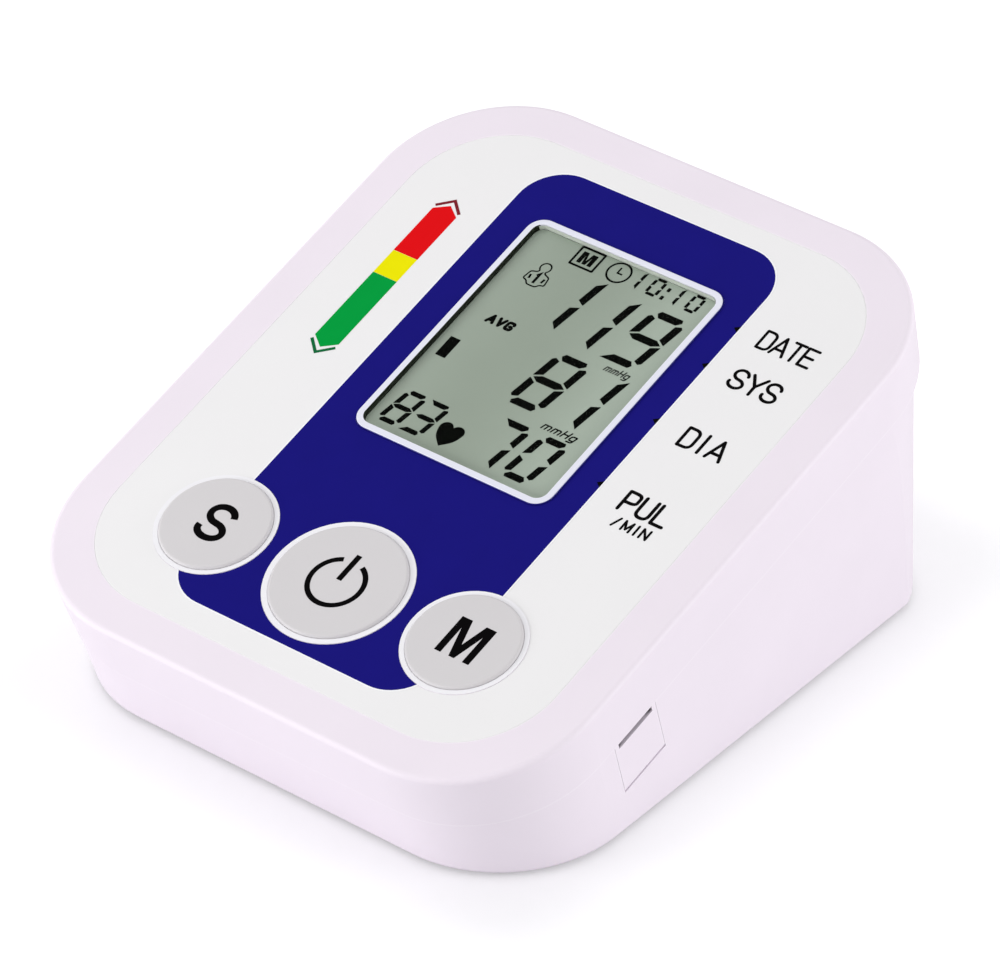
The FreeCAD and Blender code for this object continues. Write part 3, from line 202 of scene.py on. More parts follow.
# %% [markdown]
# ## Four effects that every finish shares
#
# Moulded plastic isn't one flat colour: the tool's fine spark-eroded grain breaks the gloss, the colour
# drifts a little over centimetres, edges are lighter, partly from handling and partly as a painted
# highlight, and the gloss itself is uneven where hands and cloths have been. Each effect is a shader
# group with its own sizes, made once, so the same grain can be coarse on rubber and almost nothing on
# a printed sheet.

# %% Shared shader groups
WHITE = (1.0, 1.0, 1.0, 1.0)

graph, given, result = new_group(
    "moulded grain",
    (("Size", "Float", 0.0004), ("Pits", "Float", 0.4)),
    (("Height", "Float"),),
)
place = graph.place()
scale = graph.math("DIVIDE", 1.0, given["Size"])
cloud = graph.add("ShaderNodeTexNoise", {"Vector": place, "Scale": scale, "Detail": 2.0})
pits = graph.add("ShaderNodeTexVoronoi", {"Vector": place, "Scale": scale})
height = graph.one(
    "ShaderNodeMix", {0: given["Pits"], 2: cloud.outputs["Fac"], 3: pits.outputs["Distance"]}
)
graph.feed(result, "Height", height)

graph, given, result = new_group(
    "colour drift",
    (("Color", "Color", WHITE), ("Amount", "Float", 0.03), ("Size", "Float", 0.02)),
    (("Color", "Color"),),
)
place = graph.place()
scale = graph.math("DIVIDE", 1.0, given["Size"])
cloud = graph.add("ShaderNodeTexNoise", {"Vector": place, "Scale": scale, "Detail": 3.0})
swing = graph.math("SUBTRACT", cloud.outputs["Fac"], 0.5)
level = graph.math("MULTIPLY_ADD", swing, graph.math("MULTIPLY", given["Amount"], 4.0), 1.0)
tint = graph.add("ShaderNodeHueSaturation", {"Color": given["Color"], "Value": level})
graph.feed(result, "Color", tint.outputs["Color"])

graph, given, result = new_group(
    "edge wear and painted highlight",
    (
        ("Color", "Color", WHITE),
        ("Worn", "Color", WHITE),
        ("Radius", "Float", 0.0005),
        ("Amount", "Float", 0.5),
    ),
    (("Color", "Color"),),
)
# Edges turn to the lighter colour: partly wear from handling, partly a painted highlight.
rounded = graph.one("ShaderNodeBevel", {"Radius": given["Radius"]}, samples=4)
flat = graph.add("ShaderNodeNewGeometry").outputs["Normal"]
turned = graph.math("SUBTRACT", 1.0, graph.vector("DOT_PRODUCT", rounded, flat))
mask = graph.math("MULTIPLY", graph.math("MULTIPLY", turned, 8.0), given["Amount"], clamp=True)
graph.feed(result, "Color", graph.mix(mask, given["Color"], given["Worn"]))

graph, given, result = new_group(
    "uneven gloss",
    (("Roughness", "Float", 0.4), ("Spread", "Float", 0.05), ("Size", "Float", 0.012)),
    (("Roughness", "Float"),),
)
place = graph.place()
scale = graph.math("DIVIDE", 1.0, given["Size"])
cloud = graph.add(
    "ShaderNodeTexNoise", {"Vector": place, "Scale": scale, "Detail": 4.0, "Roughness": 0.65}
)
swing = graph.math("SUBTRACT", cloud.outputs["Fac"], 0.5)
reach = graph.math("MULTIPLY", given["Spread"], 4.0)
rough = graph.math("MULTIPLY_ADD", swing, reach, given["Roughness"], clamp=True)
graph.feed(result, "Roughness", rough)
print("shader groups:", ", ".join(group.name for group in bpy.data.node_groups))

# %% [markdown]
# ## One recipe, many finishes
#
# Every finish is the same short recipe with its own numbers: base colour, drift, lighter edges (wear
# and painted highlight), gloss, and grain as relief. Numbers that are the same all over go straight onto
# the shader. What makes one finish special, such as tracks on a circuit board, is added after.

# %% The finish recipe
finishes = {}


def finish(
    name, colour, roughness, worn_and_lit=None, wear_and_highlight=0.0, drift=0.015, drift_size=0.02,
    spread=0.04, grain=0.0004, pits=0.4, relief=0.000004, sockets=None,
):
    """A material from the shared groups. Returns its graph, shader and colour socket."""
    material = bpy.data.materials.new(name)
    material.use_nodes = True
    made = Graph(material.node_tree)
    shader = material.node_tree.nodes["Principled BSDF"]
    tint = made.use("colour drift", Color=colour, Amount=drift, Size=drift_size)["Color"]
    # Lighter edges: wear, and a painted highlight along them.
    if wear_and_highlight:
        tint = made.use("edge wear and painted highlight", Color=tint, Worn=worn_and_lit or WHITE, Amount=wear_and_highlight)["Color"]
    gloss = made.use("uneven gloss", Roughness=roughness, Spread=spread)["Roughness"]
    height = made.use("moulded grain", Size=grain, Pits=pits)["Height"]
    bump = made.add("ShaderNodeBump", {"Height": height, "Distance": relief})
    made.feed(shader, "Base Color", tint)
    made.feed(shader, "Roughness", gloss)
    made.feed(shader, "Normal", bump.outputs["Normal"])
    for socket, value in (sockets or {}).items():
        shader.inputs[socket].default_value = value
    finishes[name] = material
    return made, shader, tint


# %% [markdown]
# ## The housing
#
# The case is ABS with a faint lilac cast, moulded in a finely eroded tool. The rings round the keys
# belong to the same moulding, but they are polished, and whiter than the printed sheet beside them.
# They are found by height: only the rings stand above the face, so a mask on the distance from the
# face gives them their own colour. The finger-nail slot over the port cover is deep and narrow, and
# no light comes back out of it, so its surfaces carry painted shade that darkens with their depth; a
# box in face millimetres finds them.

# %% Where a point lies on the face
SLOT_V = (6.7 * MM, 4.4 * MM)
SLOT_N = (-12.8 * MM, 0.66 * MM)
SLOT_X = (50.42 * MM, 50.05 * MM)


def along_from_face(made, direction):
    """Distance of each shaded point from the face's origin along a direction, in metres."""
    start = made.vector("SUBTRACT", made.place(), on_face(0, 0))
    return made.vector("DOT_PRODUCT", start, direction)


def height_over_face(made):
    return along_from_face(made, outward)


def ramp(made, value, start, end, lowest=0.0):
    """How far a value has come from start to end, from lowest to 1."""
    reach = {"Value": value, "From Min": start, "From Max": end, "To Min": lowest}
    return made.add("ShaderNodeMapRange", reach).outputs["Result"]


def inside_slot(made):
    """A mask of the surfaces in the finger-nail slot; SLOT_V and SLOT_N are middles and reaches."""
    up = made.math("COMPARE", along_from_face(made, upslope), *SLOT_V)
    out = made.math("COMPARE", height_over_face(made), *SLOT_N)
    across = along_from_face(made, SIDEWAYS)
    deep = ramp(made, across, *SLOT_X)
    right = made.math("MULTIPLY", deep, made.math("GREATER_THAN", across, 0.0))
    return made.math("MULTIPLY", made.math("MULTIPLY", up, out), right)


# %% [markdown]
# The cover carries one half of the slot away with it when it swings out, and that half is lit again
# then. So the painted shade on its own finish comes only where other surfaces stand close over it,
# as an ambient occlusion reading finds them.

# %% Housing plastic
CASE_COLOUR = linear(240, 231, 241)
RING_COLOUR = linear(244, 243, 247)
RING_FROM = 0.05 * MM
# The colour of the painted shade in the finger-nail slot.
SLOT_SHADE_COLOUR = linear(20, 17, 19)
SKY_REACH = 1.5 * MM
NO_SKY = 0.68
OPEN_SKY = 0.88


def case_finish(name):
    """The housing's plastic: its graph, shader and colour socket."""
    return finish(
        name, CASE_COLOUR, 0.42, worn_and_lit=linear(250, 244, 251), wear_and_highlight=0.3,
        grain=0.00035, relief=0.000003, sockets={"Specular IOR Level": 0.25},
    )


made, shader, tint = case_finish("case")
ring = made.math("GREATER_THAN", height_over_face(made), RING_FROM)
whole = made.mix(ring, tint, RING_COLOUR)
# Painted shade in the finger-nail slot, darker the deeper a point lies.
made.feed(shader, "Base Color", made.mix(inside_slot(made), whole, SLOT_SHADE_COLOUR))

made, shader, tint = case_finish("cover")
# Painted shade in the cover's half of the slot, where other surfaces stand close over it.
sky = made.add("ShaderNodeAmbientOcclusion", {"Distance": SKY_REACH}, samples=8).outputs["AO"]
slot_shade = made.math("MULTIPLY", ramp(made, sky, OPEN_SKY, NO_SKY), inside_slot(made))
made.feed(shader, "Base Color", made.mix(slot_shade, tint, SLOT_SHADE_COLOUR))
print("housing finishes:", ", ".join(finishes))

# %% [markdown]
# The keys are satin plastic, and the face sheet is a printed film with a very fine grain. The
# display's rim is white on top, and the blue of the panel round it runs up its flank: a surface
# belongs to the flank where it faces away from the rim's middle and hardly upwards. Beside the
# window's left and right sides the rim's inner wall carries painted shade, the same near black as
# those sides.

# %% Keys, face sheet and rim
BLUE = linear(24, 20, 121)
FLANK_TURN = 0.766
SIDE_TURN = 0.7
# The near black of the painted shade on the window's left and right sides and on the rim beside them.
SIDE_SHADE_COLOUR = linear(42, 46, 38)

finish(
    "key", linear(212, 209, 211), 0.4, worn_and_lit=linear(222, 220, 222), wear_and_highlight=0.2, drift=0.012,
    grain=0.0003, relief=0.000003, sockets={"Specular IOR Level": 0.3},
)
finish(
    "face", linear(240, 239, 240), 0.36, drift=0.008, grain=0.00022, pits=0.2,
    relief=0.0000015, sockets={"Specular IOR Level": 0.2},
)
made, shader, tint = finish(
    "display_rim", linear(230, 231, 244), 0.3, worn_and_lit=linear(240, 241, 250), wear_and_highlight=0.3, drift=0.006,
    relief=0.000001, sockets={"Specular IOR Level": 0.3},
)
facing = made.add("ShaderNodeNewGeometry").outputs["True Normal"]
place = made.place()
from_middle = made.vector("SUBTRACT", place, on_face(0, RIM_CENTRE_V))
outer = made.math("GREATER_THAN", made.vector("DOT_PRODUCT", facing, from_middle), 0.0)
steep = made.math("COMPARE", made.vector("DOT_PRODUCT", facing, outward), 0.0, FLANK_TURN)
flank = made.math("MULTIPLY", steep, outer)
across = made.math("ABSOLUTE", made.vector("DOT_PRODUCT", facing, SIDEWAYS))
# Painted shade on the rim's inner left and right walls, beside the window.
beside_glass = made.math("GREATER_THAN", across, SIDE_TURN)
beside_glass = made.math("MULTIPLY", beside_glass, made.math("SUBTRACT", 1.0, outer))
white = made.mix(beside_glass, tint, SIDE_SHADE_COLOUR)
made.feed(shader, "Base Color", made.mix(flank, white, BLUE))
print("finishes so far:", len(finishes))

# %% [markdown]
# ## Inks
#
# Printing is a film of ink a few hundredths of a millimetre thick, so it takes the sheet's gloss and
# grain, and solid areas are never quite even. Every ink is the same recipe in another colour.

# %% Inks
INK_SHINE = 0.02
INKS = {
    "ink_blue": BLUE,
    "ink_white": linear(249, 249, 252),
    "ink_black": linear(3, 2, 3),
    "ink_red": linear(227, 14, 21),
    "ink_dark_red": linear(126, 34, 44),
    "ink_yellow": linear(239, 232, 4),
    "ink_green": linear(0, 156, 62),
    "ink_dark_green": linear(18, 104, 58),
}
for name, colour in INKS.items():
    finish(
        name, colour, 0.38, drift=0.03, drift_size=0.006, spread=0.05, grain=0.00022,
        pits=0.2, relief=0.0000015, sockets={"Specular IOR Level": INK_SHINE},
    )
print(len(INKS), "inks")

# %% [markdown]
# ## The display
#
# A reflective display has no light of its own: a grey-green polariser lies over a soft metallic
# reflector, and the black figures are drawn in the liquid layer just under the surface. Over it sits
# a clear window. Painted light makes the display lighter towards its two sides.

# %% Display finishes
DISPLAY_COLOUR = linear(156, 168, 154)
PAINTED_LIGHT_COLOUR = linear(174, 187, 173)
SIDE_REACH = 18.0 * MM
LEAST_LIGHT = -5.0 * MM

made, shader, tint = finish(
    "display", DISPLAY_COLOUR, 0.34, drift=0.02, drift_size=0.012, spread=0.03,
    grain=0.00012, pits=0.1, relief=0.0000006, sockets={"Specular IOR Level": 0.2},
)
# Painted light: the display grows lighter towards both sides.
off_middle = made.math("SUBTRACT", along_from_face(made, SIDEWAYS), LEAST_LIGHT)
share = made.math("DIVIDE", off_middle, SIDE_REACH)
lighter = made.math("MULTIPLY", share, share, clamp=True)
made.feed(shader, "Base Color", made.mix(lighter, tint, PAINTED_LIGHT_COLOUR))
finish(
    "segments", linear(0, 1, 0), 0.5, drift=0.04, drift_size=0.004, relief=0.0000005,
    sockets={"Specular IOR Level": INK_SHINE},
)
print("display and figures dressed")

# %% [markdown]
# The window's left and right sides carry painted shade, nearly black and darkest along their upper
# edge, and its top and bottom edges carry a painted reflection of the display, lighter than the
# display. One material does all of it: it reads which way the surface faces and how high a point lies.

# %% Window
# A painted reflection of the display, lighter than the display itself.
PAINTED_MIRROR_COLOUR = linear(206, 213, 202)
WINDOW_LOW = -0.7 * MM
WINDOW_HIGH = 0.2 * MM
SEEN_LOW = 0.4
CLEAR = 0.03

made, shader, tint = finish(
    "window", linear(40, 44, 38), 0.07, drift=0.004, spread=0.015, relief=0.0000002,
    sockets={"IOR": 1.49, "Specular IOR Level": 0.03},
)
facing = made.add("ShaderNodeNewGeometry").outputs["True Normal"]
across = made.math("ABSOLUTE", made.vector("DOT_PRODUCT", facing, SIDEWAYS))
along = made.math("ABSOLUTE", made.vector("DOT_PRODUCT", facing, upslope))
# Painted shade on the left and right sides; a painted reflection of the display on the top and bottom.
shaded_side = made.math("GREATER_THAN", across, SIDE_TURN)
painted_mirror = made.math("GREATER_THAN", along, SIDE_TURN)
height = ramp(made, height_over_face(made), WINDOW_LOW, WINDOW_HIGH, SEEN_LOW)
edges = made.mix(painted_mirror, SIDE_SHADE_COLOUR, PAINTED_MIRROR_COLOUR)
made.feed(shader, "Base Color", made.mix(made.math("MAXIMUM", shaded_side, painted_mirror), tint, edges))
see = made.math("MULTIPLY_ADD", shaded_side, height, CLEAR)
made.feed(shader, "Alpha", made.math("MAXIMUM", see, painted_mirror, clamp=True))
print("window dressed")

# %% [markdown]
# ## Inside and underneath
#
# The inside is seen only with the door or the cover open, but each part still gets the finish that
# it has on a bench: moulded plastics with coarse or fine grain, drawn and plated steel with the
# fine lines of its making, silicone, rubber and foil-jacketed cells.

# %% Plain mouldings, rubber and hose
finish("plunger", linear(38, 38, 40), 0.45, worn_and_lit=linear(80, 80, 82), wear_and_highlight=0.3)
finish(
    "black_plastic", linear(30, 30, 32), 0.42, worn_and_lit=linear(72, 72, 75), wear_and_highlight=0.35, relief=0.000005,
)
finish(
    "chip", linear(26, 26, 28), 0.6, worn_and_lit=linear(60, 60, 60), wear_and_highlight=0.2, grain=0.00012,
    relief=0.000003,
)
finish("white_plastic", linear(226, 225, 218), 0.45, worn_and_lit=WHITE, wear_and_highlight=0.3, drift=0.02)
finish(
    "rubber", linear(122, 122, 126), 0.72, worn_and_lit=linear(150, 150, 154), wear_and_highlight=0.4, grain=0.0005,
    relief=0.000012,
)
finish(
    "tube", linear(206, 206, 200), 0.4, drift=0.02, relief=0.000001,
    sockets={"Transmission Weight": 0.15},
)
print("finishes so far:", len(finishes))

# %% [markdown]
# Bare metal shows how it was made: drawn wire and rolled sheet carry fine lines along one axis. The
# lines are noise, squeezed until it runs in streaks. The armature is a stack of thin sheets, whose
# edges show as even bands.

# %% Metals
STREAK_SQUASH = 0.02
LAMINATION = 0.5 * MM


def metal(name, colour, roughness, axis, lines=0.00006, relief=0.0000015):
    """Bare metal with fine lines running along one axis, from drawing, turning or rolling."""
    made, shader, tint = finish(
        name, colour, roughness, drift=0.03, drift_size=0.006, spread=0.08,
        sockets={"Metallic": 1.0},
    )
    place = made.place()
    squash = [1.0, 1.0, 1.0]
    squash["XYZ".index(axis)] = STREAK_SQUASH
    drawn = made.one("ShaderNodeMapping", {"Vector": place, "Scale": squash})
    streaks = made.add("ShaderNodeTexNoise", {"Vector": drawn, "Scale": 1 / lines, "Detail": 2.0})
    bump = made.add("ShaderNodeBump", {"Height": streaks.outputs["Fac"], "Distance": relief})
    made.feed(shader, "Normal", bump.outputs["Normal"])
    return made, shader, tint


metal("steel", linear(196, 198, 202), 0.3, "Z")
metal("motor_steel", linear(176, 178, 182), 0.34, "X")
metal("contact", linear(214, 211, 200), 0.25, "Z")

made, shader, tint = metal("laminations", linear(112, 112, 116), 0.45, "Y")
place = made.place()
waves = 1 / (LAMINATION * math.tau) * 2
sheets = made.add(
    "ShaderNodeTexWave", {"Vector": place, "Scale": waves, "Distortion": 0.3}, bands_direction="X",
)
made.feed(shader, "Base Color", made.mix(sheets.outputs["Fac"], tint, linear(60, 60, 64)))
print("finishes so far:", len(finishes))

# %% [markdown]
# The circuit board is green solder mask over copper: tracks show as a lighter green. Tracks run in
# parallel bundles with square turns, which a stack of brick patterns imitates. The cells have a
# jacket printed in two plain colours and bare steel ends, found by how far along its cell a point
# lies. Neighbouring cells lie the other way round, so the distance is counted from the flat end.

# %% Board and cells
made, shader, tint = finish(
    "board", linear(24, 104, 52), 0.3, drift=0.02, spread=0.05, sockets={"Coat Weight": 0.4},
)
place = made.place()
tracks = made.add("ShaderNodeTexBrick", {
    "Vector": place, "Scale": 260.0, "Mortar Size": 0.06, "Mortar Smooth": 0.1,
    "Brick Width": 1.7, "Row Height": 0.35,
}, offset=0.37)
bundle = made.add("ShaderNodeTexNoise", {"Vector": place, "Scale": 90.0, "Detail": 0.0})
where = made.math("GREATER_THAN", bundle.outputs["Fac"], 0.5)
track = made.math("MULTIPLY", tracks.outputs["Fac"], where)
made.feed(shader, "Base Color", made.mix(track, tint, linear(70, 158, 84)))

CELL_PITCH = 14.9 * MM
CELL_BODY = 49.3 * MM
JACKET_EDGE = 0.7 * MM
BAND_FROM = 38 * MM
FLAT_END_EVEN = 41.15 * MM
FLAT_END_ODD = -11.15 * MM

made, shader, tint = finish(
    "cell", linear(36, 44, 60), 0.28, drift=0.02, spread=0.02, relief=0.0000005,
    sockets={"Coat Weight": 0.3},
)
place = made.place()
place = made.add("ShaderNodeSeparateXYZ", {0: place}).outputs
number = made.math("FLOOR", made.math("MULTIPLY_ADD", place["X"], 1 / CELL_PITCH, 2.0))
odd = made.math("MODULO", number, 2.0)
from_odd = made.math("SUBTRACT", place["Y"], FLAT_END_ODD)
from_even = made.math("SUBTRACT", FLAT_END_EVEN, place["Y"])
along = made.one("ShaderNodeMix", {0: odd, 2: from_even, 3: from_odd})
jacket = made.math("COMPARE", along, CELL_BODY / 2, CELL_BODY / 2 - JACKET_EDGE)
band = made.math("GREATER_THAN", along, BAND_FROM)
printed_jacket = made.mix(band, tint, linear(206, 208, 212))
made.feed(shader, "Base Color", made.mix(jacket, linear(190, 192, 196), printed_jacket))
made.feed(shader, "Metallic", made.math("SUBTRACT", 1.0, jacket))
print("finishes in all:", len(finishes))

# %% [markdown]
# ## Give every construction node its finish
#
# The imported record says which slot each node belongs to, and the finishes carry the slots' names, so
# one loop dresses them all.

# %% Dress the construction
for name, node in nodes.items():
    node.data.materials.clear()
    node.data.materials.append(finishes[slot_of[name]])
print("dressed", len(nodes), "nodes with", len(set(slot_of.values())), "finishes")

# %% [markdown]
# ## Flat printing
#
# Printed shapes are outlines in face millimetres. A two-dimensional curve fills them, holes and all,
# and a hair of thickness makes them real geometry that stands on the sheet. The curve is made a mesh
# before it is moved to its place, so that the finished piece sits at the origin.

# %% Outlines
INK = 0.03
SHARPEST = 0.3


def arc(cx, cv, radius, start, end, steps=12):
    """Points along an arc, from one angle to another, in degrees."""
    points = []
    for step in range(steps + 1):
        angle = math.radians(start + (end - start) * step / steps)
        points.append((cx + radius * math.cos(angle), cv + radius * math.sin(angle)))
    return points


def circle(cx, cv, radius, steps=72):
    return arc(cx, cv, radius, 0, 360 * (1 - 1 / steps), steps - 1)


def round_box(x0, v0, x1, v1, radius):
    """A rectangle with round corners."""
    return (
        arc(x1 - radius, v0 + radius, radius, -90, 0)
        + arc(x1 - radius, v1 - radius, radius, 0, 90)
        + arc(x0 + radius, v1 - radius, radius, 90, 180)
        + arc(x0 + radius, v0 + radius, radius, 180, 270)
    )


def arc_band(cx, cv, radius, width, start, end, steps=48):
    """A stretch of ring with square ends."""
    outer = arc(cx, cv, radius + width / 2, start, end, steps)
    inner = arc(cx, cv, radius - width / 2, end, start, steps)
    return outer + inner


def line(points, width):
    """A drawn line of even width through points, mitred at its corners."""
    left = []
    right = []
    for number, point in enumerate(points):
        here = Vector(point)
        before = (here - Vector(points[number - 1])).normalized() if number else None
        last = number + 1 == len(points)
        after = None if last else (Vector(points[number + 1]) - here).normalized()
        before = before or after
        way = (before + (after or before)).normalized()
        side = Vector((-way.y, way.x))
        square = abs(side.dot(Vector((-before.y, before.x))))
        reach = width / 2 / max(SHARPEST, square)
        left.append(tuple(here + side * reach))
        right.append(tuple(here - side * reach))
    return left + right[::-1]


# %% [markdown]
# Whatever a curve, a boolean or a geometry tree makes is taken off as a plain mesh, joined with
# others of its kind, and given to the body that carries it.

# %% Fill outlines and join meshes
WELD = 0.0005


def put(name, data):
    """A new object in the scene."""
    thing = bpy.data.objects.new(name, data)
    bpy.context.scene.collection.objects.link(thing)
    return thing


def plain_mesh(thing):
    """The mesh that an object's curve or modifiers make."""
    bpy.context.view_layer.update()
    ready = thing.evaluated_get(bpy.context.evaluated_depsgraph_get())
    return bpy.data.meshes.new_from_object(ready)


def filled(outlines, thickness=INK):
    """A mesh of outlines on its own base plane; an outline inside another is a hole."""
    curve = bpy.data.curves.new("outline", "CURVE")
    curve.dimensions = "2D"
    curve.fill_mode = "BOTH"
    curve.extrude = thickness / 2
    for outline in outlines:
        spline = curve.splines.new("POLY")
        spline.points.add(len(outline) - 1)
        for point, (x, v) in zip(spline.points, outline):
            point.co = (x, v, 0, 1)
        spline.use_cyclic_u = True
    holder = put("holder", curve)
    mesh = plain_mesh(holder)
    mesh.transform(Matrix.Translation((0, 0, thickness / 2)))
    bpy.data.objects.remove(holder)
    bpy.data.curves.remove(curve)
    return mesh


def joined(name, meshes, weld=False):
    """One mesh made of several, which are used up."""
    shape = bmesh.new()
    for mesh in meshes:
        shape.from_mesh(mesh)
        bpy.data.meshes.remove(mesh)
    if weld:
        bmesh.ops.remove_doubles(shape, verts=shape.verts, dist=WELD)
        bmesh.ops.recalc_face_normals(shape, faces=shape.faces)
    whole = bpy.data.meshes.new(name)
    shape.to_mesh(whole)
    shape.free()
    return whole


def place_piece(name, mesh, material, body):
    """Make a finished mesh a piece that rides on a body."""
    mesh.materials.clear()
    mesh.materials.append(finishes[material])
    mesh.name = name
    piece = put(name, mesh)
    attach(piece, body)
    return piece


def printed(name, meshes, material, level=0.0, body="housing"):
    """Flat meshes joined into one piece at a level over the face."""
    whole = joined(name, meshes, weld=True)
    whole.transform(FACE @ Matrix.Translation((0, 0, level)))
    return place_piece(name, whole, material, body)


def gather(name, meshes, body, material):
    """Meshes that already stand at their places, joined into one piece."""
    return place_piece(name, joined(name, meshes), material, body)


# %% [markdown]
# ## The blue field
#
# One solid panel of blue joins the display and the keys, with a white hairline round it. The key
# rings and the display rim stand up through holes in it, so the holes are cut out with boolean
# cutters: the two outer keys sit half over the panel's edge, and cutting gives those bites exactly.

# %% Blue field and hairline
FIELD = (-25.65, -14.05, 24.8, 88.1)
FIELD_R = 7.8
HAIRLINE = 0.28
HAIR_GAP = 0.01
RING_GAP = 0.06
CUTTER = 1.0
KEY_RINGS = ((-25.2, 10.25), (0.0, 12.35), (25.2, 10.25))
RIM_HALF = (19.7, 25.25)
RIM_R = 3.1


def grown(box, by):
    x0, v0, x1, v1 = box
    return (x0 - by, v0 - by, x1 + by, v1 + by)


def cut_flat(mesh, outlines):
    """Cut the shapes of the outlines right through a flat mesh."""
    target = put("target", mesh)
    for outline in outlines:
        tool_mesh = filled([outline], CUTTER)
        tool_mesh.transform(Matrix.Translation((0, 0, -CUTTER / 2)))
        tool = put("tool", tool_mesh)
        cut = target.modifiers.new("cut", "BOOLEAN")
        cut.object = tool
        cut.solver = "EXACT"
        left = plain_mesh(target)
        target.modifiers.clear()
        target.data = left
        bpy.data.objects.remove(tool)
        bpy.data.meshes.remove(tool_mesh)
    bpy.data.objects.remove(target)
    return left


rings = [circle(x, 0, radius + RING_GAP) for x, radius in KEY_RINGS]
rim = round_box(
    -RIM_HALF[0] - RING_GAP, RIM_CENTRE_V - RIM_HALF[1] - RING_GAP,
    RIM_HALF[0] + RING_GAP, RIM_CENTRE_V + RIM_HALF[1] + RING_GAP, RIM_R + RING_GAP,
)
field = cut_flat(filled([round_box(*FIELD, FIELD_R)]), rings + [rim])
printed("blue_field", [field], "ink_blue")
outer = round_box(*grown(FIELD, HAIRLINE), FIELD_R + HAIRLINE)
hair = cut_flat(filled([outer, round_box(*grown(FIELD, HAIR_GAP), FIELD_R)]), rings)
printed("field_hairline", [hair], "ink_white")
print("blue field", FIELD[2] - FIELD[0], "x", FIELD[3] - FIELD[1], "mm")

# %% [markdown]
# Small black pointers on the panel's right edge lead from each row of the display to its label. Round
# the whole face sheet and round the key collars, the adhesive under the sheet comes up in the joint as
# a fine pale bead, which is why the joint hardly shows. A thin ring just under each collar's top keeps
# dust out of the play round the key; it leaves the key free.

# %% Row pointers, beads and dust rings
POINTER_ROWS = (72.8, 64.1, 50.9, 36.1)
POINTER_HALF = 0.7
POINTER_REACH = 0.95
SHEET = (-44.4, -18.85, 44.4, 92.35)
SHEET_R = 17.5
BEAD = 0.06
BEAD_LEVEL = -0.11
UNDER_SHEET = 0.08
UNDER_COLLAR = 0.01
CAP_RADII = (9.35, 11.3, 9.35)
KEY_PLAY = 0.12
DUST_RING = 0.1
DUST_LEVEL = -0.08
INTO_COLLAR = 0.01
OFF_CAP = 0.03
RING_STEPS = 144


def pointer(v):
    """A small triangle on the panel's edge that points inwards."""
    edge = FIELD[2]
    return [(edge, v - POINTER_HALF), (edge, v + POINTER_HALF), (edge - POINTER_REACH, v)]


def key_ring(x, outer, inner, thickness):
    """A flat ring round a key."""
    return filled([circle(x, 0, outer, RING_STEPS), circle(x, 0, inner, RING_STEPS)], thickness)


pointers = [filled([pointer(v)]) for v in POINTER_ROWS]
printed("row_pointers", pointers, "ink_black", level=INK)
beads = [filled([
    round_box(*grown(SHEET, BEAD), SHEET_R + BEAD),
    round_box(*grown(SHEET, -UNDER_SHEET), SHEET_R - UNDER_SHEET),
], BEAD)]
dust_rings = []
for (x, collar), cap in zip(KEY_RINGS, CAP_RADII):
    beads.append(key_ring(x, collar + BEAD, collar - UNDER_COLLAR, BEAD))
    dust_rings.append(key_ring(x, cap + KEY_PLAY + INTO_COLLAR, cap + OFF_CAP, DUST_RING))
printed("face_bead", beads, "face", level=BEAD_LEVEL)
printed("key_dust_rings", dust_rings, "face", level=DUST_LEVEL)
print(len(pointers), "pointers,", len(beads), "beads and", len(dust_rings), "dust rings")

# %% [markdown]
# ## The pressure scale
#
# On the left a bar of three colours shows how serious a reading is: green at the bottom, yellow, and
# red at the top, each end pointed like a house gable with a chevron beyond it. The word under it on
# such monitors is an organisation's name, so its place stays bare.

# %% Pressure scale
SCALE_X = -34.15
SCALE_HALF = 2.47
CHEVRON_LINE = 0.55
RED_END = (60.6, 71.1, 72.8)
YELLOW_FROM = 55.15
YELLOW_TO = 60.55
YELLOW_R = 0.02
GREEN_END = (55.1, 39.7, 37.9)
RED_CHEVRON = (71.85, 74.05)
GREEN_CHEVRON = (38.85, 36.65)
LEFT = SCALE_X - SCALE_HALF
RIGHT = SCALE_X + SCALE_HALF


def gable(foot, shoulder, tip):
    """The bar's end piece, from its flat foot to its point."""
    return [(LEFT, foot), (RIGHT, foot), (RIGHT, shoulder), (SCALE_X, tip), (LEFT, shoulder)]


def chevron(shoulder, tip):
    return line([(LEFT, shoulder), (SCALE_X, tip), (RIGHT, shoulder)], CHEVRON_LINE)


scale = {
    "scale_red": (gable(*RED_END), "ink_red"),
    "scale_yellow": (round_box(LEFT, YELLOW_FROM, RIGHT, YELLOW_TO, YELLOW_R), "ink_yellow"),
    "scale_green": (gable(*GREEN_END), "ink_green"),
    "scale_red_chevron": (chevron(*RED_CHEVRON), "ink_dark_red"),
    "scale_green_chevron": (chevron(*GREEN_CHEVRON), "ink_dark_green"),
}
for name, (outline, ink) in scale.items():
    printed(name, [filled([outline])], ink)
print(len(scale), "pieces in the pressure scale")

# %% [markdown]
# ## Lettering
#
# Words beside the display name its rows. Their letters are drawn like those on a technical drawing,
# with a pen of one width and round ends, so a letter is a few pen strokes on a grid one unit high.
# Bends are rounded by a rule. A word lays its letters side by side and fits them to a box.

# %% Pen strokes
S_WAIST = 70
STEP_UP = 0.0015


def bend(points, radius, steps=8):
    """A path with its corners rounded; radius is how far the rounding reaches along each side."""
    path = [tuple(points[0])]
    for before, here, after in zip(points, points[1:], points[2:]):
        corner = Vector(here)
        start = corner + (Vector(before) - corner).normalized() * radius
        end = corner + (Vector(after) - corner).normalized() * radius
        for step in range(steps + 1):
            t = step / steps
            path.append(tuple(start * (1 - t) ** 2 + corner * 2 * t * (1 - t) + end * t**2))
    return path + [tuple(points[-1])]


def oval(cx, cv, rx, rv, start, end, steps=24):
    return [(cx + rx * x, cv + rv * v) for x, v in arc(0, 0, 1, start, end, steps)]


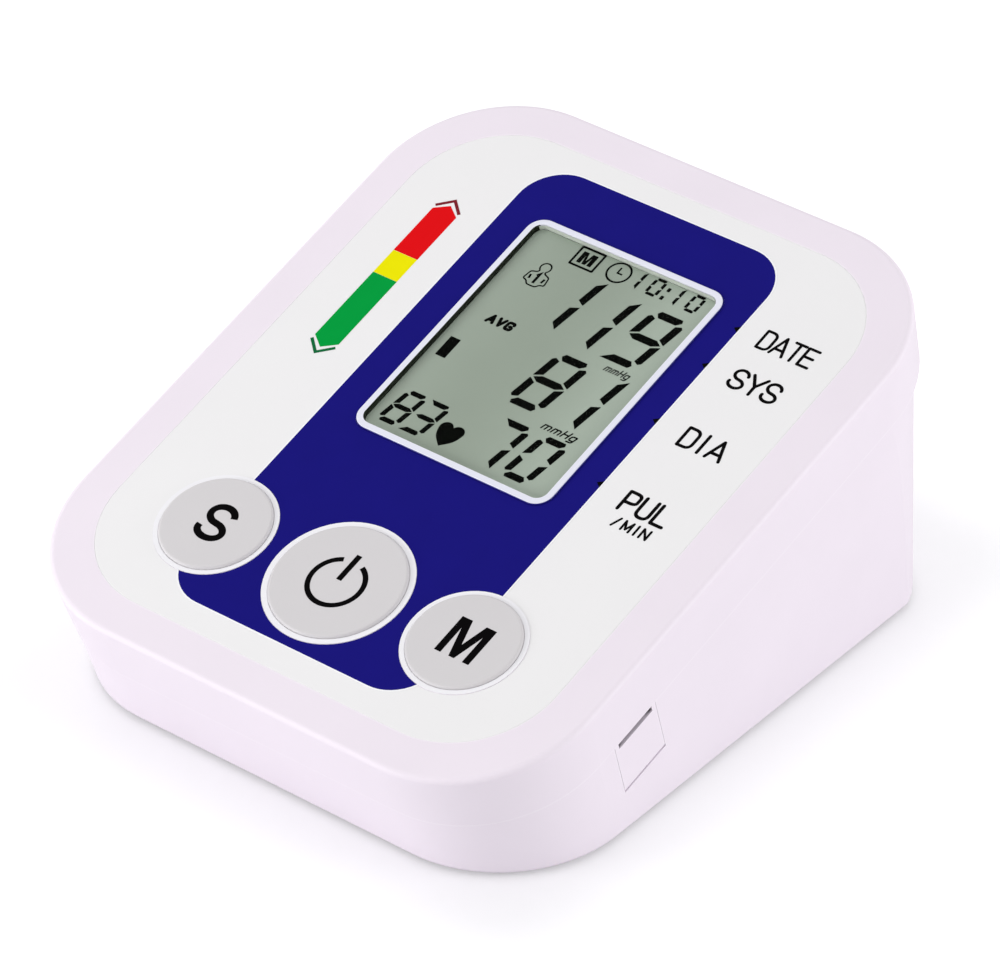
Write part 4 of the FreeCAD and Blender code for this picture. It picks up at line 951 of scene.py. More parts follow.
S_PATH = (
    oval(0.32, 0.738, 0.30, 0.262, 8, 360 - 180 + S_WAIST)
    + oval(0.32, 0.238, 0.32, 0.238, S_WAIST, -191)
)
BOWL = bend([(0, 1), (0.58, 1), (0.58, 0), (0, 0)], 0.3)
LETTERS = {
    "/": ([(0, 0), (0.4, 1)],),
    "A": ([(0, 0), (0.33, 1)], [(0.33, 1), (0.66, 0)], [(0.1, 0.29), (0.56, 0.29)]),
    "D": ([(0, 0), (0, 1)], BOWL),
    "E": ([(0, 0), (0, 1)], [(0, 1), (0.55, 1)], [(0, 0.51), (0.5, 0.51)], [(0, 0), (0.55, 0)]),
    "G": (
        bend([(0.6, 0.78), (0.6, 1), (0, 1), (0, 0), (0.6, 0), (0.6, 0.45), (0.34, 0.45)], 0.21),
    ),
    "H": ([(0, 0), (0, 1)], [(0.56, 0), (0.56, 1)], [(0, 0.5), (0.56, 0.5)]),
    "I": ([(0, 0), (0, 1)],),
    "L": ([(0, 1), (0, 0)], [(0, 0), (0.56, 0)]),
    "M": (
        [(0, 0), (0, 1)], [(0, 1), (0.36, 0.15)], [(0.36, 0.15), (0.72, 1)], [(0.72, 1), (0.72, 0)],
    ),
    "N": ([(0, 0), (0, 1)], [(0, 1), (0.62, 0)], [(0.62, 0), (0.62, 1)]),
    "P": ([(0, 0), (0, 1)], [(x, 1 - 0.56 * (1 - v)) for x, v in BOWL]),
    "S": (S_PATH,),
    "T": ([(0, 1), (0.58, 1)], [(0.29, 1), (0.29, 0)]),
    "U": (bend([(0, 1), (0, 0), (0.58, 0), (0.58, 1)], 0.28),),
    "V": ([(0, 1), (0.31, 0)], [(0.31, 0), (0.62, 1)]),
    "Y": ([(0, 1), (0.35, 0.45)], [(0.7, 1), (0.35, 0.45)], [(0.35, 0.45), (0.35, 0)]),
    "g": (
        bend([(0.5, 0.66), (0, 0.66), (0, 0), (0.5, 0)], 0.22),
        bend([(0.5, 0.66), (0.5, -0.3), (0, -0.3)], 0.2),
    ),
    "m": (
        [(0, 0), (0, 0.66)],
        bend([(0, 0.66), (0.37, 0.66), (0.37, 0)], 0.18),
        bend([(0.37, 0.66), (0.74, 0.66), (0.74, 0)], 0.18),
    ),
}


def pen(points, width, steps=6):
    """The outline of one pen stroke with round ends."""
    left = line(points, width)
    half = len(points)
    caps = []
    for tip, inner in ((points[-1], points[-2]), (points[0], points[1])):
        heading = math.degrees(math.atan2(tip[1] - inner[1], tip[0] - inner[0]))
        caps.append(arc(*tip, width / 2, heading + 90, heading - 90, steps)[1:-1])
    return left[:half] + caps[0] + left[half:] + caps[1]


def penned(word, box, width, gap=0.22, lean=0.0, thickness=INK):
    """The strokes of a word as flat meshes; box = (x0, v0, x1, v1) holds the inked shape."""
    strokes = []
    at = 0.0
    for letter in word:
        for stroke in LETTERS[letter]:
            strokes.append([(at + x + lean * v, v) for x, v in stroke])
        at += max(x for stroke in LETTERS[letter] for x, v in stroke) + gap
    xs = [x for stroke in strokes for x, v in stroke]
    vs = [v for stroke in strokes for x, v in stroke]
    x0, v0, x1, v1 = grown(box, -width / 2)
    wide = (x1 - x0) / (max(xs) - min(xs))
    high = (v1 - v0) / (max(vs) - min(vs))
    meshes = []
    for number, stroke in enumerate(strokes):
        fitted = [(x0 + (x - min(xs)) * wide, v0 + (v - min(vs)) * high) for x, v in stroke]
        meshes.append(filled([pen(fitted, width)], thickness + STEP_UP * number))
    return meshes


# %% [markdown]
# The strokes of a letter overlap. Each stands about a thousandth of a millimetre higher than the one
# before, so no two surfaces lie in the same plane.

# %% Row labels
LABEL_PEN = 0.56
labels = (
    penned("DATE", (29.05, 70.9, 39.6, 75.1), LABEL_PEN - 0.06, 0.14)
    + penned("SYS", (29.5, 62.0, 39.0, 66.4), LABEL_PEN, 0.14)
    + penned("DIA", (30.0, 48.25, 38.7, 52.65), LABEL_PEN, 0.38)
    + penned("PUL", (29.6, 33.05, 38.8, 37.5), LABEL_PEN + 0.04, 0.23)
    + penned("/MIN", (30.85, 29.9, 37.9, 32.15), 0.4, 0.5)
)
printed("row_labels", labels, "ink_black")
print(len(labels), "pen strokes in the row labels")

# %% [markdown]
# ## Key legends
#
# The keys are printed S for set, a ring and bar for power, and M for memory. Each legend rides on
# its own key, so it goes down with it. The heavy M is cut as one outline, because strokes that meet
# at such sharp angles would fill its corners.

# %% Key legends
KEY_TOP = 0.6
LEGEND_BASE = KEY_TOP - 0.01
POWER_RING = (0.0, -0.4, 4.65, 0.9)
POWER_GAP = 23.5
POWER_BAR = [(0.0, 0.15), (0.0, 5.65)]
POWER_BAR_WIDTH = 1.0
S_CORNER = (-27.3, -3.25)
S_SIZE = (7.1875, 6.6)
S_WIDTH = 1.2
M_BOX = (22.1, -3.6, 28.85, 3.8)
M_WIDTHS = (1.25, 2.0, 2.7)
M_FOOT = 0.42
M_FALL = 0.26


def heavy_m(x0, v0, x1, v1, leg, shoulder, notch):
    """The outline of a heavy M in a box; shoulder is the width of its top ends."""
    middle = (x0 + x1) / 2
    foot = leg * M_FOOT
    inner = v1 - (v1 - v0) * M_FALL
    return [
        (x0, v0), (x0, v1), (x0 + shoulder, v1), (middle, v0 + notch), (x1 - shoulder, v1),
        (x1, v1), (x1, v0), (x1 - leg, v0), (x1 - leg, inner), (middle + foot, v0),
        (middle - foot, v0), (x0 + leg, inner), (x0 + leg, v0),
    ]


power = [
    filled([arc_band(*POWER_RING, 90 + POWER_GAP, 450 - POWER_GAP)]),
    filled([line(POWER_BAR, POWER_BAR_WIDTH)]),
]
s_line = [(S_CORNER[0] + x * S_SIZE[0], S_CORNER[1] + v * S_SIZE[1]) for x, v in S_PATH]
m_shape = heavy_m(*M_BOX, *M_WIDTHS)
printed("set_legend", [filled([line(s_line, S_WIDTH)])], "ink_black", LEGEND_BASE, "set_key")
printed("power_legend", power, "ink_black", LEGEND_BASE, "power_key")
printed("memory_legend", [filled([m_shape])], "ink_black", LEGEND_BASE, "memory_key")
print("legends on three keys, their base at", LEGEND_BASE, "mm")

# %% [markdown]
# ## The display's figures
#
# Figures are built from seven bars with pointed ends and a hair of space between them, all leaning a
# little to the right. Where two lit bars meet at an outer corner, the corner is cut off; where only
# one is lit, it runs out to a point. One function knows the bars, a table says which bars each figure
# in use lights, and every figure on the display is one line with its place and its size.

# %% Seven-bar figures
LIT = {
    "0": "abcdef", "1": "bc", "3": "abgcd", "7": "abc", "8": "abcdefg", "9": "abcdfg",
}
LEAN = 0.17
CLOCK_LEAN = 0.05
SEGMENT = 0.02
SEGMENT_LEVEL = -0.724


def upright_bar(size, cut):
    """The upper right bar; cut says whether the corner above it is cut off."""
    width, height, thick, gap = size
    middle = height / 2
    top = height - thick
    if cut:
        corner = (width - thick * 0.32, top + gap * 0.5)
        upper = [(width, top - gap), corner, (width - thick, top - gap)]
    else:
        upper = [(width, height - gap * 0.6), (width - thick, top)]
    lower = [(width - thick, middle + thick / 2 + gap), (width - gap * 0.2, middle + gap)]
    return upper + lower + [(width, middle + gap * 1.3)]


def level_bar(size, cut_left, cut_right):
    """The top bar; each end is cut to the middle of its edge or runs out to a point."""
    width, height, thick, gap = size
    top = height - thick

    def end(cut):
        if cut:
            corner = (thick * 0.5 + gap, top + thick * 0.55)
            return [(thick + gap, top), corner, (thick * 0.75 + gap, height)]
        return [(thick + gap, top), (gap * 0.2, height)]

    left = end(cut_left)
    right = [(width - x, v) for x, v in end(cut_right)]
    return left + right[::-1]


def figure(character, x, v, size, lean=LEAN):
    """The lit bars of one figure, its lower left corner at x, v on the face."""
    width, height, thick, gap = size
    lit = LIT[character]
    half = thick / 2

    def both(pair):
        return pair[0] in lit and pair[1] in lit

    def down(outline):
        return [(px, height - pv) for px, pv in outline]

    def left(outline):
        return [(width - px, pv) for px, pv in outline]

    middle = height / 2
    inner = thick + gap * 0.6
    shapes = {
        "a": level_bar(size, both("fa"), both("ab")),
        "b": upright_bar(size, both("ab")),
        "c": down(upright_bar(size, both("cd"))),
        "d": down(level_bar(size, both("ed"), both("cd"))),
        "e": down(left(upright_bar(size, both("ed")))),
        "f": left(upright_bar(size, both("fa"))),
        "g": [
            (gap * 1.3, middle), (inner, middle + half), (width - inner, middle + half),
            (width - gap * 1.3, middle), (width - inner, middle - half), (inner, middle - half),
        ],
    }
    return [
        filled([[(x + px + lean * pv, v + pv) for px, pv in shapes[bar]]], SEGMENT) for bar in lit
    ]


# %% [markdown]
# The three readings stand in a column on the right, the time runs along the top, and the small
# pulse figure sits at the lower left.

# %% Readings
CLOCK_FOOT = 72.55
BIG = (6.9, 12.45, 1.44, 0.28)
LOW = (5.65, 10.05, 1.27, 0.25)
SMALL = (4.25, 7.5, 0.92, 0.16)
CLOCK = (2.4, 3.85, 0.56, 0.03)

shown = []
for character, x, v, size in (
    ("1", -9.5, 59.15, BIG), ("1", -2.0, 58.2, BIG), ("9", 7.5, 58.2, BIG),
    ("8", -0.8, 43.45, BIG), ("1", 6.5, 43.55, BIG),
    ("7", 0.55, 30.55, LOW), ("0", 8.0, 30.55, LOW),
    ("8", -17.0, 30.5, SMALL), ("3", -12.25, 30.5, SMALL),
):
    shown += figure(character, x, v, size)
for character, x in (("1", 1.45), ("0", 5.55), ("1", 9.2), ("0", 13.35)):
    shown += figure(character, x, CLOCK_FOOT, CLOCK, lean=CLOCK_LEAN)
print(len(shown), "lit bars")

# %% [markdown]
# The rest of the display is small signs: a boxed M for memory, a clock, a colon, a user's outline
# with a number, AVG for the average of readings, a mark beside the colour scale, the unit twice,
# and a heart for the pulse.

# %% Signs


def sign(*outlines):
    return filled(outlines, SEGMENT)


def heart():
    """Two round lobes and two slightly bulged sides that meet in the tip."""
    lobe = arc(-2.98, 34.2, 1.24, 158, -12, 20)
    side = bend([lobe[-1], (-2.25, 32.3), (-4.12, 30.6)], 0.9)
    half = lobe + side[1:]
    return half + [(-8.24 - x, v) for x, v in half[::-1][1:]]


BOX_LINE = 0.4
box = (-9.45, 72.1, -4.5, 76.45)
shown += [
    sign(round_box(*box, 0.25), round_box(*grown(box, -BOX_LINE), 0.1)),
    sign(heavy_m(-8.45, 73.0, -5.55, 75.5, 0.78, 1.05, 0.75)),
    sign(circle(-0.54, 74.25, 2.25), circle(-0.54, 74.25, 1.9)),
    sign(line([(-0.75, 75.35), (-0.75, 74.1), (0.2, 74.1)], 0.3)),
    sign(round_box(8.78, 74.55, 9.38, 75.4, 0.15)),
    sign(round_box(8.68, 72.65, 9.28, 73.5, 0.15)),
    sign(round_box(-16.75, 46.0, -14.75, 50.35, 0.05)),
    sign(heart()),
]
shown += penned("AVG", (-14.05, 55.45, -8.55, 57.5), 0.56, 0.36, 0.12, SEGMENT)
shown += penned("mmHg", (9.8, 55.65, 14.75, 57.45), 0.2, 0.3, 0.25, SEGMENT)
shown += penned("mmHg", (8.25, 40.95, 15.2, 42.95), 0.26, 0.3, 0.25, SEGMENT)

USER_X = -11.95
USER_LINE = 0.26
ARM_LINE = 0.4
half_user = bend([
    (0.6, 68.75), (0.6, 68.35), (1.85, 67.9), (2.15, 66.1), (1.35, 65.95), (0.9, 65.3),
    (0.0, 65.25),
], 0.35)
shown += [
    sign(arc_band(USER_X, 69.5, 0.98, USER_LINE, -52, 232)),
    sign(line([(USER_X + x, v) for x, v in half_user], USER_LINE)),
    sign(line([(USER_X - x, v) for x, v in half_user], USER_LINE)),
    sign(line([(USER_X - 1.4, 67.35), (USER_X - 1.25, 66.45)], ARM_LINE)),
    sign(line([(USER_X + 1.4, 67.35), (USER_X + 1.25, 66.45)], ARM_LINE)),
    sign(line([(USER_X - 0.35, 67.5), (USER_X, 67.95), (USER_X, 65.85)], 0.5)),
]
print(len(shown), "bars, strokes and signs on the display")
printed("display_figures", shown, "segments", SEGMENT_LEVEL)

# %% [markdown]
# ## Small parts that repeat
#
# Springs, screw threads, ringed feet and the parts on the board are all one shape many times, so a
# geometry tree grows each kind from a few named sizes. The same coil rule serves the battery springs
# and the threads of both kinds of screw. The tree works at the origin and along its own axes, and the
# finished mesh is then carried to its place.

# %% Geometry trees with short words


def new_rule(name, inputs):
    """An empty geometry tree with named inputs and one geometry output."""
    tree = bpy.data.node_groups.new(name, "GeometryNodeTree")
    for label, kind, value in inputs:
        socket = tree.interface.new_socket(label, in_out="INPUT", socket_type="NodeSocket" + kind)
        if value is not None:
            socket.default_value = value
    tree.interface.new_socket("Geometry", in_out="OUTPUT", socket_type="NodeSocketGeometry")
    rule = Graph(tree)
    return rule, rule.add("NodeGroupInput").outputs, rule.add("NodeGroupOutput")


def end_rule(rule, given, result, geometry):
    """Every rule ends in real geometry with its material."""
    whole = rule.one("GeometryNodeRealizeInstances", {"Geometry": geometry})
    dressed = rule.one("GeometryNodeSetMaterial", {"Geometry": whole, "Material": given["Finish"]})
    rule.feed(result, "Geometry", dressed)


def grow(rule, material, **sizes):
    """The plain mesh that a rule grows with these sizes."""
    sizes = {name.replace("_", " "): value for name, value in sizes.items()}
    sizes["Finish"] = finishes[material]
    holder = put("holder", bpy.data.meshes.new("seed"))
    modifier = holder.modifiers.new("rule", "NODES")
    modifier.node_group = rule.tree
    for socket in rule.tree.interface.items_tree:
        if socket.in_out == "INPUT" and socket.name in sizes:
            modifier[socket.identifier] = sizes.pop(socket.name)
    assert not sizes, sizes
    mesh = plain_mesh(holder)
    bpy.data.objects.remove(holder)
    return mesh


def rule_row(rule, given, instance):
    """Copies of a shape in a straight row; Count and Step are inputs of the rule."""
    row = rule.one("GeometryNodeMeshLine", {"Count": given["Count"], "Offset": given["Step"]})
    return rule.one("GeometryNodeInstanceOnPoints", {"Points": row, "Instance": instance})


def lifted(rule, geometry, height):
    """A shape raised along the tree's z axis."""
    up = rule.one("ShaderNodeCombineXYZ", {"Z": height})
    return rule.one("GeometryNodeTransform", {"Geometry": geometry, "Translation": up})


# %% [markdown]
# A battery spring is a flat wire cone whose turns nest into each other when a cell is pushed in. Its
# first turn lies on a plate with round corners. One rule winds a round wire along a spiral, and the
# next one makes the plate.

# %% Coil rule
coil_rule, given, result = new_rule("coils in a row", (
    ("Finish", "Material", None),
    ("Count", "Int", 2),
    ("Step", "Vector", (0.03, 0.0, 0.0)),
    ("Turns", "Float", 4.0),
    ("Resolution", "Int", 28),
    ("Wide Radius", "Float", 0.004),
    ("Narrow Radius", "Float", 0.0024),
    ("Height", "Float", 0.001),
    ("Wire Radius", "Float", 0.00025),
))
spiral = coil_rule.one("GeometryNodeCurveSpiral", {
    "Resolution": given["Resolution"], "Rotations": given["Turns"],
    "Start Radius": given["Wide Radius"], "End Radius": given["Narrow Radius"],
    "Height": given["Height"],
})
wire = coil_rule.one(
    "GeometryNodeCurvePrimitiveCircle", {"Resolution": 8, "Radius": given["Wire Radius"]}
)
wound = coil_rule.one(
    "GeometryNodeCurveToMesh", {"Curve": spiral, "Profile Curve": wire, "Fill Caps": True}
)
end_rule(coil_rule, given, result, rule_row(coil_rule, given, wound))
print("coil rule:", len(coil_rule.tree.nodes), "nodes")

# %% [markdown]
# The plate is a square with its corners rounded, filled, and raised to its thickness. Raising leaves
# it open underneath, so a turned-over copy of the sheet closes it.

# %% Plate rule
PLATE_WELD = 0.000001

plate_rule, given, result = new_rule("plates in a row", (
    ("Finish", "Material", None),
    ("Count", "Int", 2),
    ("Step", "Vector", (0.03, 0.0, 0.0)),
    ("Side", "Float", 0.009),
    ("Corner", "Float", 0.0012),
    ("Thickness", "Float", 0.0004),
))
square = plate_rule.one(
    "GeometryNodeCurvePrimitiveQuadrilateral", {"Width": given["Side"], "Height": given["Side"]}
)
rounded = plate_rule.one(
    "GeometryNodeFilletCurve", {"Curve": square, "Radius": given["Corner"], "Count": 6}, mode="POLY"
)
sheet = plate_rule.one("GeometryNodeFillCurve", {"Curve": rounded}, mode="NGONS")
up = plate_rule.one("ShaderNodeCombineXYZ", {"Z": given["Thickness"]})
raised = plate_rule.one("GeometryNodeExtrudeMesh", {
    "Mesh": sheet, "Offset": up, "Offset Scale": 1.0, "Individual": False,
})
under = plate_rule.one("GeometryNodeFlipFaces", {"Mesh": sheet})
both = plate_rule.add("GeometryNodeJoinGeometry")
for part in (raised, under):
    plate_rule.tree.links.new(part, both.inputs[0])
welded = plate_rule.one(
    "GeometryNodeMergeByDistance", {"Geometry": both.outputs[0], "Distance": PLATE_WELD}
)
end_rule(plate_rule, given, result, rule_row(plate_rule, given, welded))
print("plate rule:", len(plate_rule.tree.nodes), "nodes")

# %% [markdown]
# Every cell has one spring, at its flat end. Neighbours lie the other way round, so the springs
# stand at the front wall and at the rear wall in turn.

# %% Battery springs
CELL_Z = 10.75 * MM
CELL_FIRST_X = -22.35 * MM
SPRING_PLATE = 0.4 * MM
SPRING_WIRE = 0.25 * MM
SPRING_HEIGHT = 1.65 * MM
WELL_ENDS = (-13.2 * MM, 43.2 * MM)
NEXT_BUT_ONE = (2 * CELL_PITCH, 0.0, 0.0)
SPRING_PLACES = (
    (CELL_FIRST_X + CELL_PITCH, WELL_ENDS[0], -90),
    (CELL_FIRST_X, WELL_ENDS[1], 90),
)

springs = []
for first_x, wall, turned in SPRING_PLACES:
    coils = grow(
        coil_rule, "contact", Step=NEXT_BUT_ONE, Wire_Radius=SPRING_WIRE,
        Height=SPRING_HEIGHT - 2 * SPRING_WIRE,
    )
    coils.transform(Matrix.Translation((0, 0, SPRING_PLATE + SPRING_WIRE)))
    plates = grow(plate_rule, "contact", Step=NEXT_BUT_ONE, Thickness=SPRING_PLATE)
    stand = Matrix.Rotation(math.radians(turned), 4, "X")
    for mesh in (coils, plates):
        mesh.transform(Matrix.Translation((first_x, wall, CELL_Z)) @ stand)
        springs.append(mesh)
coils = gather("wound_springs", springs, "housing", "contact")
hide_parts("contact_springs")

# %% [markdown]
# Screws cut their own thread into the plastic. A thread is a coil of one radius, so the same rule
# winds it round the shanks of the case screws and of the board screws.

# %% Screw threads
CASE_SCREW = {"radius": 1.4 * MM, "turns": 6.0, "pitch": 1.1 * MM}
BOARD_SCREW = {"radius": 1.2 * MM, "turns": 4.0, "pitch": 1.0 * MM}
THREAD_RIDGE = 0.14 * MM
CASE_STEP = 0.076
FRONT_SCREW = (-0.038, -0.0447, 0.0128)
REAR_SCREW = (-0.038, 0.0433, 0.0399)
BOARD_STEP = 0.07
LOWER_SCREW = on_face(-35, 20, -8.9)
UPPER_SCREW = on_face(-35, 51, -8.9)


def thread_row(screw, step, place, turn):
    """Two threads, a step apart along the tree's own x axis."""
    row = grow(
        coil_rule, "steel", Step=(step, 0.0, 0.0), Turns=screw["turns"], Resolution=20,
        Wide_Radius=screw["radius"], Narrow_Radius=screw["radius"],
        Height=screw["turns"] * screw["pitch"], Wire_Radius=THREAD_RIDGE,
    )
    row.transform(Matrix.Translation(place) @ turn)
    return row


upright = Matrix.Identity(4)
slope = Matrix.Rotation(math.asin(upslope.z), 4, "X")
threads = [
    thread_row(CASE_SCREW, CASE_STEP, FRONT_SCREW, upright),
    thread_row(CASE_SCREW, CASE_STEP, REAR_SCREW, upright),
    thread_row(BOARD_SCREW, BOARD_STEP, LOWER_SCREW, slope),
    thread_row(BOARD_SCREW, BOARD_STEP, UPPER_SCREW, slope),
]
gather("screw_threads", threads, "housing", "steel")
print("threads on", 2 * len(threads), "screws")

# %% [markdown]
# Rubber feet are moulded with rings on their underside, which grip a table better than a smooth disc
# and don't trap air. Each foot is a chamfered disc with three ridges, and the ridges reach down to
# the table.

# %% Ringed feet
FOOT_SIDES = 48
RIDGE_SIDES = 10
RIDGE_SHARES = (0.86, 0.56, 0.26)
FOOT_PAIRS = ((-0.036, -0.0345), (-0.033, 0.052))

foot_rule, given, result = new_rule("ringed feet", (
    ("Finish", "Material", None),
    ("Count", "Int", 2),
    ("Step", "Vector", (0.07, 0.0, 0.0)),
    ("Radius", "Float", 0.0045),
    ("Thickness", "Float", 0.0016),
    ("Chamfer", "Float", 0.0003),
    ("Ridge", "Float", 0.00028),
))


def ridge(share):
    """One ring of the foot, at a share of its radius."""
    radius = foot_rule.math("MULTIPLY", given["Radius"], share)
    circles = [
        foot_rule.one("GeometryNodeCurvePrimitiveCircle", {"Resolution": sides, "Radius": size})
        for sides, size in ((FOOT_SIDES, radius), (RIDGE_SIDES, given["Ridge"]))
    ]
    tube = foot_rule.one(
        "GeometryNodeCurveToMesh", {"Curve": circles[0], "Profile Curve": circles[1]}
    )
    return lifted(foot_rule, tube, given["Ridge"])


def drum(lower_radius, height, level):
    """A round slice of the foot, whose upper radius is the foot's own."""
    slice_of_foot = foot_rule.one("GeometryNodeMeshCone", {
        "Vertices": FOOT_SIDES, "Radius Top": given["Radius"], "Radius Bottom": lower_radius,
        "Depth": height,
    })
    return lifted(foot_rule, slice_of_foot, level)


inner = foot_rule.math("SUBTRACT", given["Radius"], given["Chamfer"])
base = foot_rule.math("ADD", given["Ridge"], given["Chamfer"])
tall = foot_rule.math("SUBTRACT", given["Thickness"], base)
parts = [drum(inner, given["Chamfer"], given["Ridge"]), drum(given["Radius"], tall, base)]
parts += [ridge(share) for share in RIDGE_SHARES]
foot = foot_rule.add("GeometryNodeJoinGeometry")
for part in parts:
    foot_rule.tree.links.new(part, foot.inputs[0])
end_rule(foot_rule, given, result, rule_row(foot_rule, given, foot.outputs[0]))

feet = []
for x, y in FOOT_PAIRS:
    pair = grow(foot_rule, "rubber", Step=(-2 * x, 0.0, 0.0))
    pair.transform(Matrix.Translation((x, y, 0)))
    feet.append(pair)
ringed = gather("ringed_feet", feet, "housing", "rubber")
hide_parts("rubber_feet")

# %% [markdown]
# Round the microcontroller stand rows of chip resistors: a black body with a tinned end on each side.
# The bodies and the ends are grown by the same rule with other sizes, so they stay together. A fixed
# seed leaves some places in the rows empty, as on a real board.

# %% Parts on the board
row_rule, given, result = new_rule("parts in rows", (
    ("Finish", "Material", None),
    ("Columns", "Int", 7),
    ("Rows", "Int", 4),
    ("Width", "Float", 0.014),
    ("Depth", "Float", 0.006),
    ("Size", "Vector", (0.001, 0.0008, 0.0004)),
    ("Shift", "Vector", (0.0, 0.0, 0.0)),
    ("Filled", "Float", 0.8),
    ("Seed", "Int", 4),
))
grid = row_rule.one("GeometryNodeMeshGrid", {
    "Size X": given["Width"], "Size Y": given["Depth"],
    "Vertices X": given["Columns"], "Vertices Y": given["Rows"],
})
chance = row_rule.add("FunctionNodeRandomValue", {"Seed": given["Seed"]}, data_type="FLOAT")
keep = row_rule.math("LESS_THAN", chance.outputs[1], given["Filled"])
block = row_rule.one("GeometryNodeMeshCube", {"Size": given["Size"]})
block = row_rule.one("GeometryNodeTransform", {"Geometry": block, "Translation": given["Shift"]})
copies = row_rule.one(
    "GeometryNodeInstanceOnPoints", {"Points": grid, "Selection": keep, "Instance": block}
)
end_rule(row_rule, given, result, copies)

BODY = (0.9 * MM, 0.8 * MM, 0.4 * MM)
CAP = (0.25 * MM, 0.82 * MM, 0.42 * MM)
CAP_AT = 0.55 * MM
BOARD_FACE = -10.81
RESISTOR_PLACES = ((12, 21), (12, 43))

bodies = []
caps = []
for x, v in RESISTOR_PLACES:
    place = FACE @ Matrix.Translation((x, v, BOARD_FACE)) @ TO_MM
    body_row = grow(row_rule, "chip", Size=BODY)
    body_row.transform(place)
    bodies.append(body_row)
    for side in (-1, 1):
        cap_row = grow(row_rule, "contact", Size=CAP, Shift=(side * CAP_AT, 0.0, 0.0))
        cap_row.transform(place)
        caps.append(cap_row)
gather("resistor_bodies", bodies, "housing", "chip")
gather("resistor_ends", caps, "housing", "contact")
print(len(bodies), "fields of resistors")

# %% [markdown]
# Under each key sits a short-travel switch: a black body on four tinned legs, and a steel cover with a
# hole for the plunger. Bodies and covers are the same thing in other sizes, a block with a bore, so one
# rule makes a row of either. The covers stay a tenth of a millimetre under the stem of a pressed key.

# %% Switches under the keys
DRILL_SIDES = 48
DRILL_DEPTH = 0.02

bored_rule, given, result = new_rule("bored blocks in a row", (
    ("Finish", "Material", None),
    ("Count", "Int", 3),
    ("Step", "Vector", (0.0252, 0.0, 0.0)),
    ("Size", "Vector", (0.0062, 0.0062, 0.0031)),
    ("Middle", "Vector", (0.0, 0.0, 0.00155)),
    ("Bore", "Float", 0.00162),
))
block = bored_rule.one("GeometryNodeMeshCube", {"Size": given["Size"]})
drill = bored_rule.one("GeometryNodeMeshCylinder", {
    "Vertices": DRILL_SIDES, "Radius": given["Bore"], "Depth": DRILL_DEPTH,
})
bored = bored_rule.one(
    "GeometryNodeMeshBoolean", {"Mesh 1": block, "Mesh 2": drill}, operation="DIFFERENCE",
    solver="EXACT",
)
standing = bored_rule.one(
    "GeometryNodeTransform", {"Geometry": bored, "Translation": given["Middle"]}
)
end_rule(bored_rule, given, result, rule_row(bored_rule, given, standing))

SWITCH_FOOT = -9.0
SWITCH_STEP = 25.2
SWITCH_BODY = (6.2 * MM, 6.2 * MM, 3.12 * MM)
BODY_MIDDLE = (0, 0, 1.56 * MM)
SWITCH_COVER = (6.0 * MM, 6.0 * MM, 0.3 * MM)
COVER_MIDDLE = (0, 0, 3.25 * MM)
LEG = (0.25 * MM, 0.7 * MM, 1.2 * MM)
LEG_FOOT = (0.9 * MM, 0.7 * MM, 0.2 * MM)
LEG_SPREAD = 6.45 * MM
FOOT_SPREAD = 7.3 * MM
LEG_GAP = 4.5 * MM
ALL = 2.0

first_switch = FACE @ Matrix.Translation((-SWITCH_STEP, 0, SWITCH_FOOT)) @ TO_MM
body_row = grow(bored_rule, "black_plastic", Size=SWITCH_BODY, Middle=BODY_MIDDLE)
cover_row = grow(bored_rule, "steel", Size=SWITCH_COVER, Middle=COVER_MIDDLE)
legs = []
for size, spread in ((LEG, LEG_SPREAD), (LEG_FOOT, FOOT_SPREAD)):
    for number in range(3):
        four = grow(
            row_rule, "contact", Columns=2, Rows=2, Width=spread, Depth=LEG_GAP, Size=size,
            Shift=(0.0, 0.0, size[2] / 2), Filled=ALL,
        )
        four.transform(Matrix.Translation((number * SWITCH_STEP * MM, 0, 0)))
        legs.append(four)
for mesh in [body_row, cover_row, *legs]:
    mesh.transform(first_switch)
bodies_piece = gather("switch_bodies", [body_row], "housing", "black_plastic")
gather("switch_covers", [cover_row], "housing", "steel")
gather("switch_legs", legs, "housing", "contact")
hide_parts("key_switches")

# %% [markdown]
# The port cover is a push fit: its two upright edges stand closer to the wall than the room that the
# mould was drawn with. Its mesh is a copy of the construction's, merged, with its outermost points on
# each side moved out a little, so it still swings free.

# %% Port cover
EDGE_GROWTH = 0.11
NEAR = 0.02

lid_mesh = nodes["port_cover"].data.copy()
lid_mesh.transform(FACE.inverted())
shape = bmesh.new()
shape.from_mesh(lid_mesh)
bmesh.ops.remove_doubles(shape, verts=shape.verts, dist=WELD)
low = min(point.co.y for point in shape.verts)
high = max(point.co.y for point in shape.verts)
for point in shape.verts:
    if point.co.y < low + NEAR:
        point.co.y -= EDGE_GROWTH
    elif point.co.y > high - NEAR:
        point.co.y += EDGE_GROWTH
shape.to_mesh(lid_mesh)
shape.free()
lid_mesh.transform(FACE)
lid = place_piece("port_lid", lid_mesh, "cover", "port_cover")
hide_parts("port_cover")
print("port cover", round(high - low, 2), "mm wide, each side plus", EDGE_GROWTH)

# %% [markdown]
# Inside the battery door each place says which way round its cell goes. The signs are plain raised
# strokes: a plus at the end where the cell's nub belongs, and a minus at the other.

# %% Signs inside the door
DOOR_INSIDE = 2.8 * MM
SIGN_RISE = 0.15
SIGN_PEN = 0.8
SIGN_REACH = 2.0
FLAT_END_FRONT = (34.0, -6.0)
FLAT_END_REAR = (-4.0, 36.0)

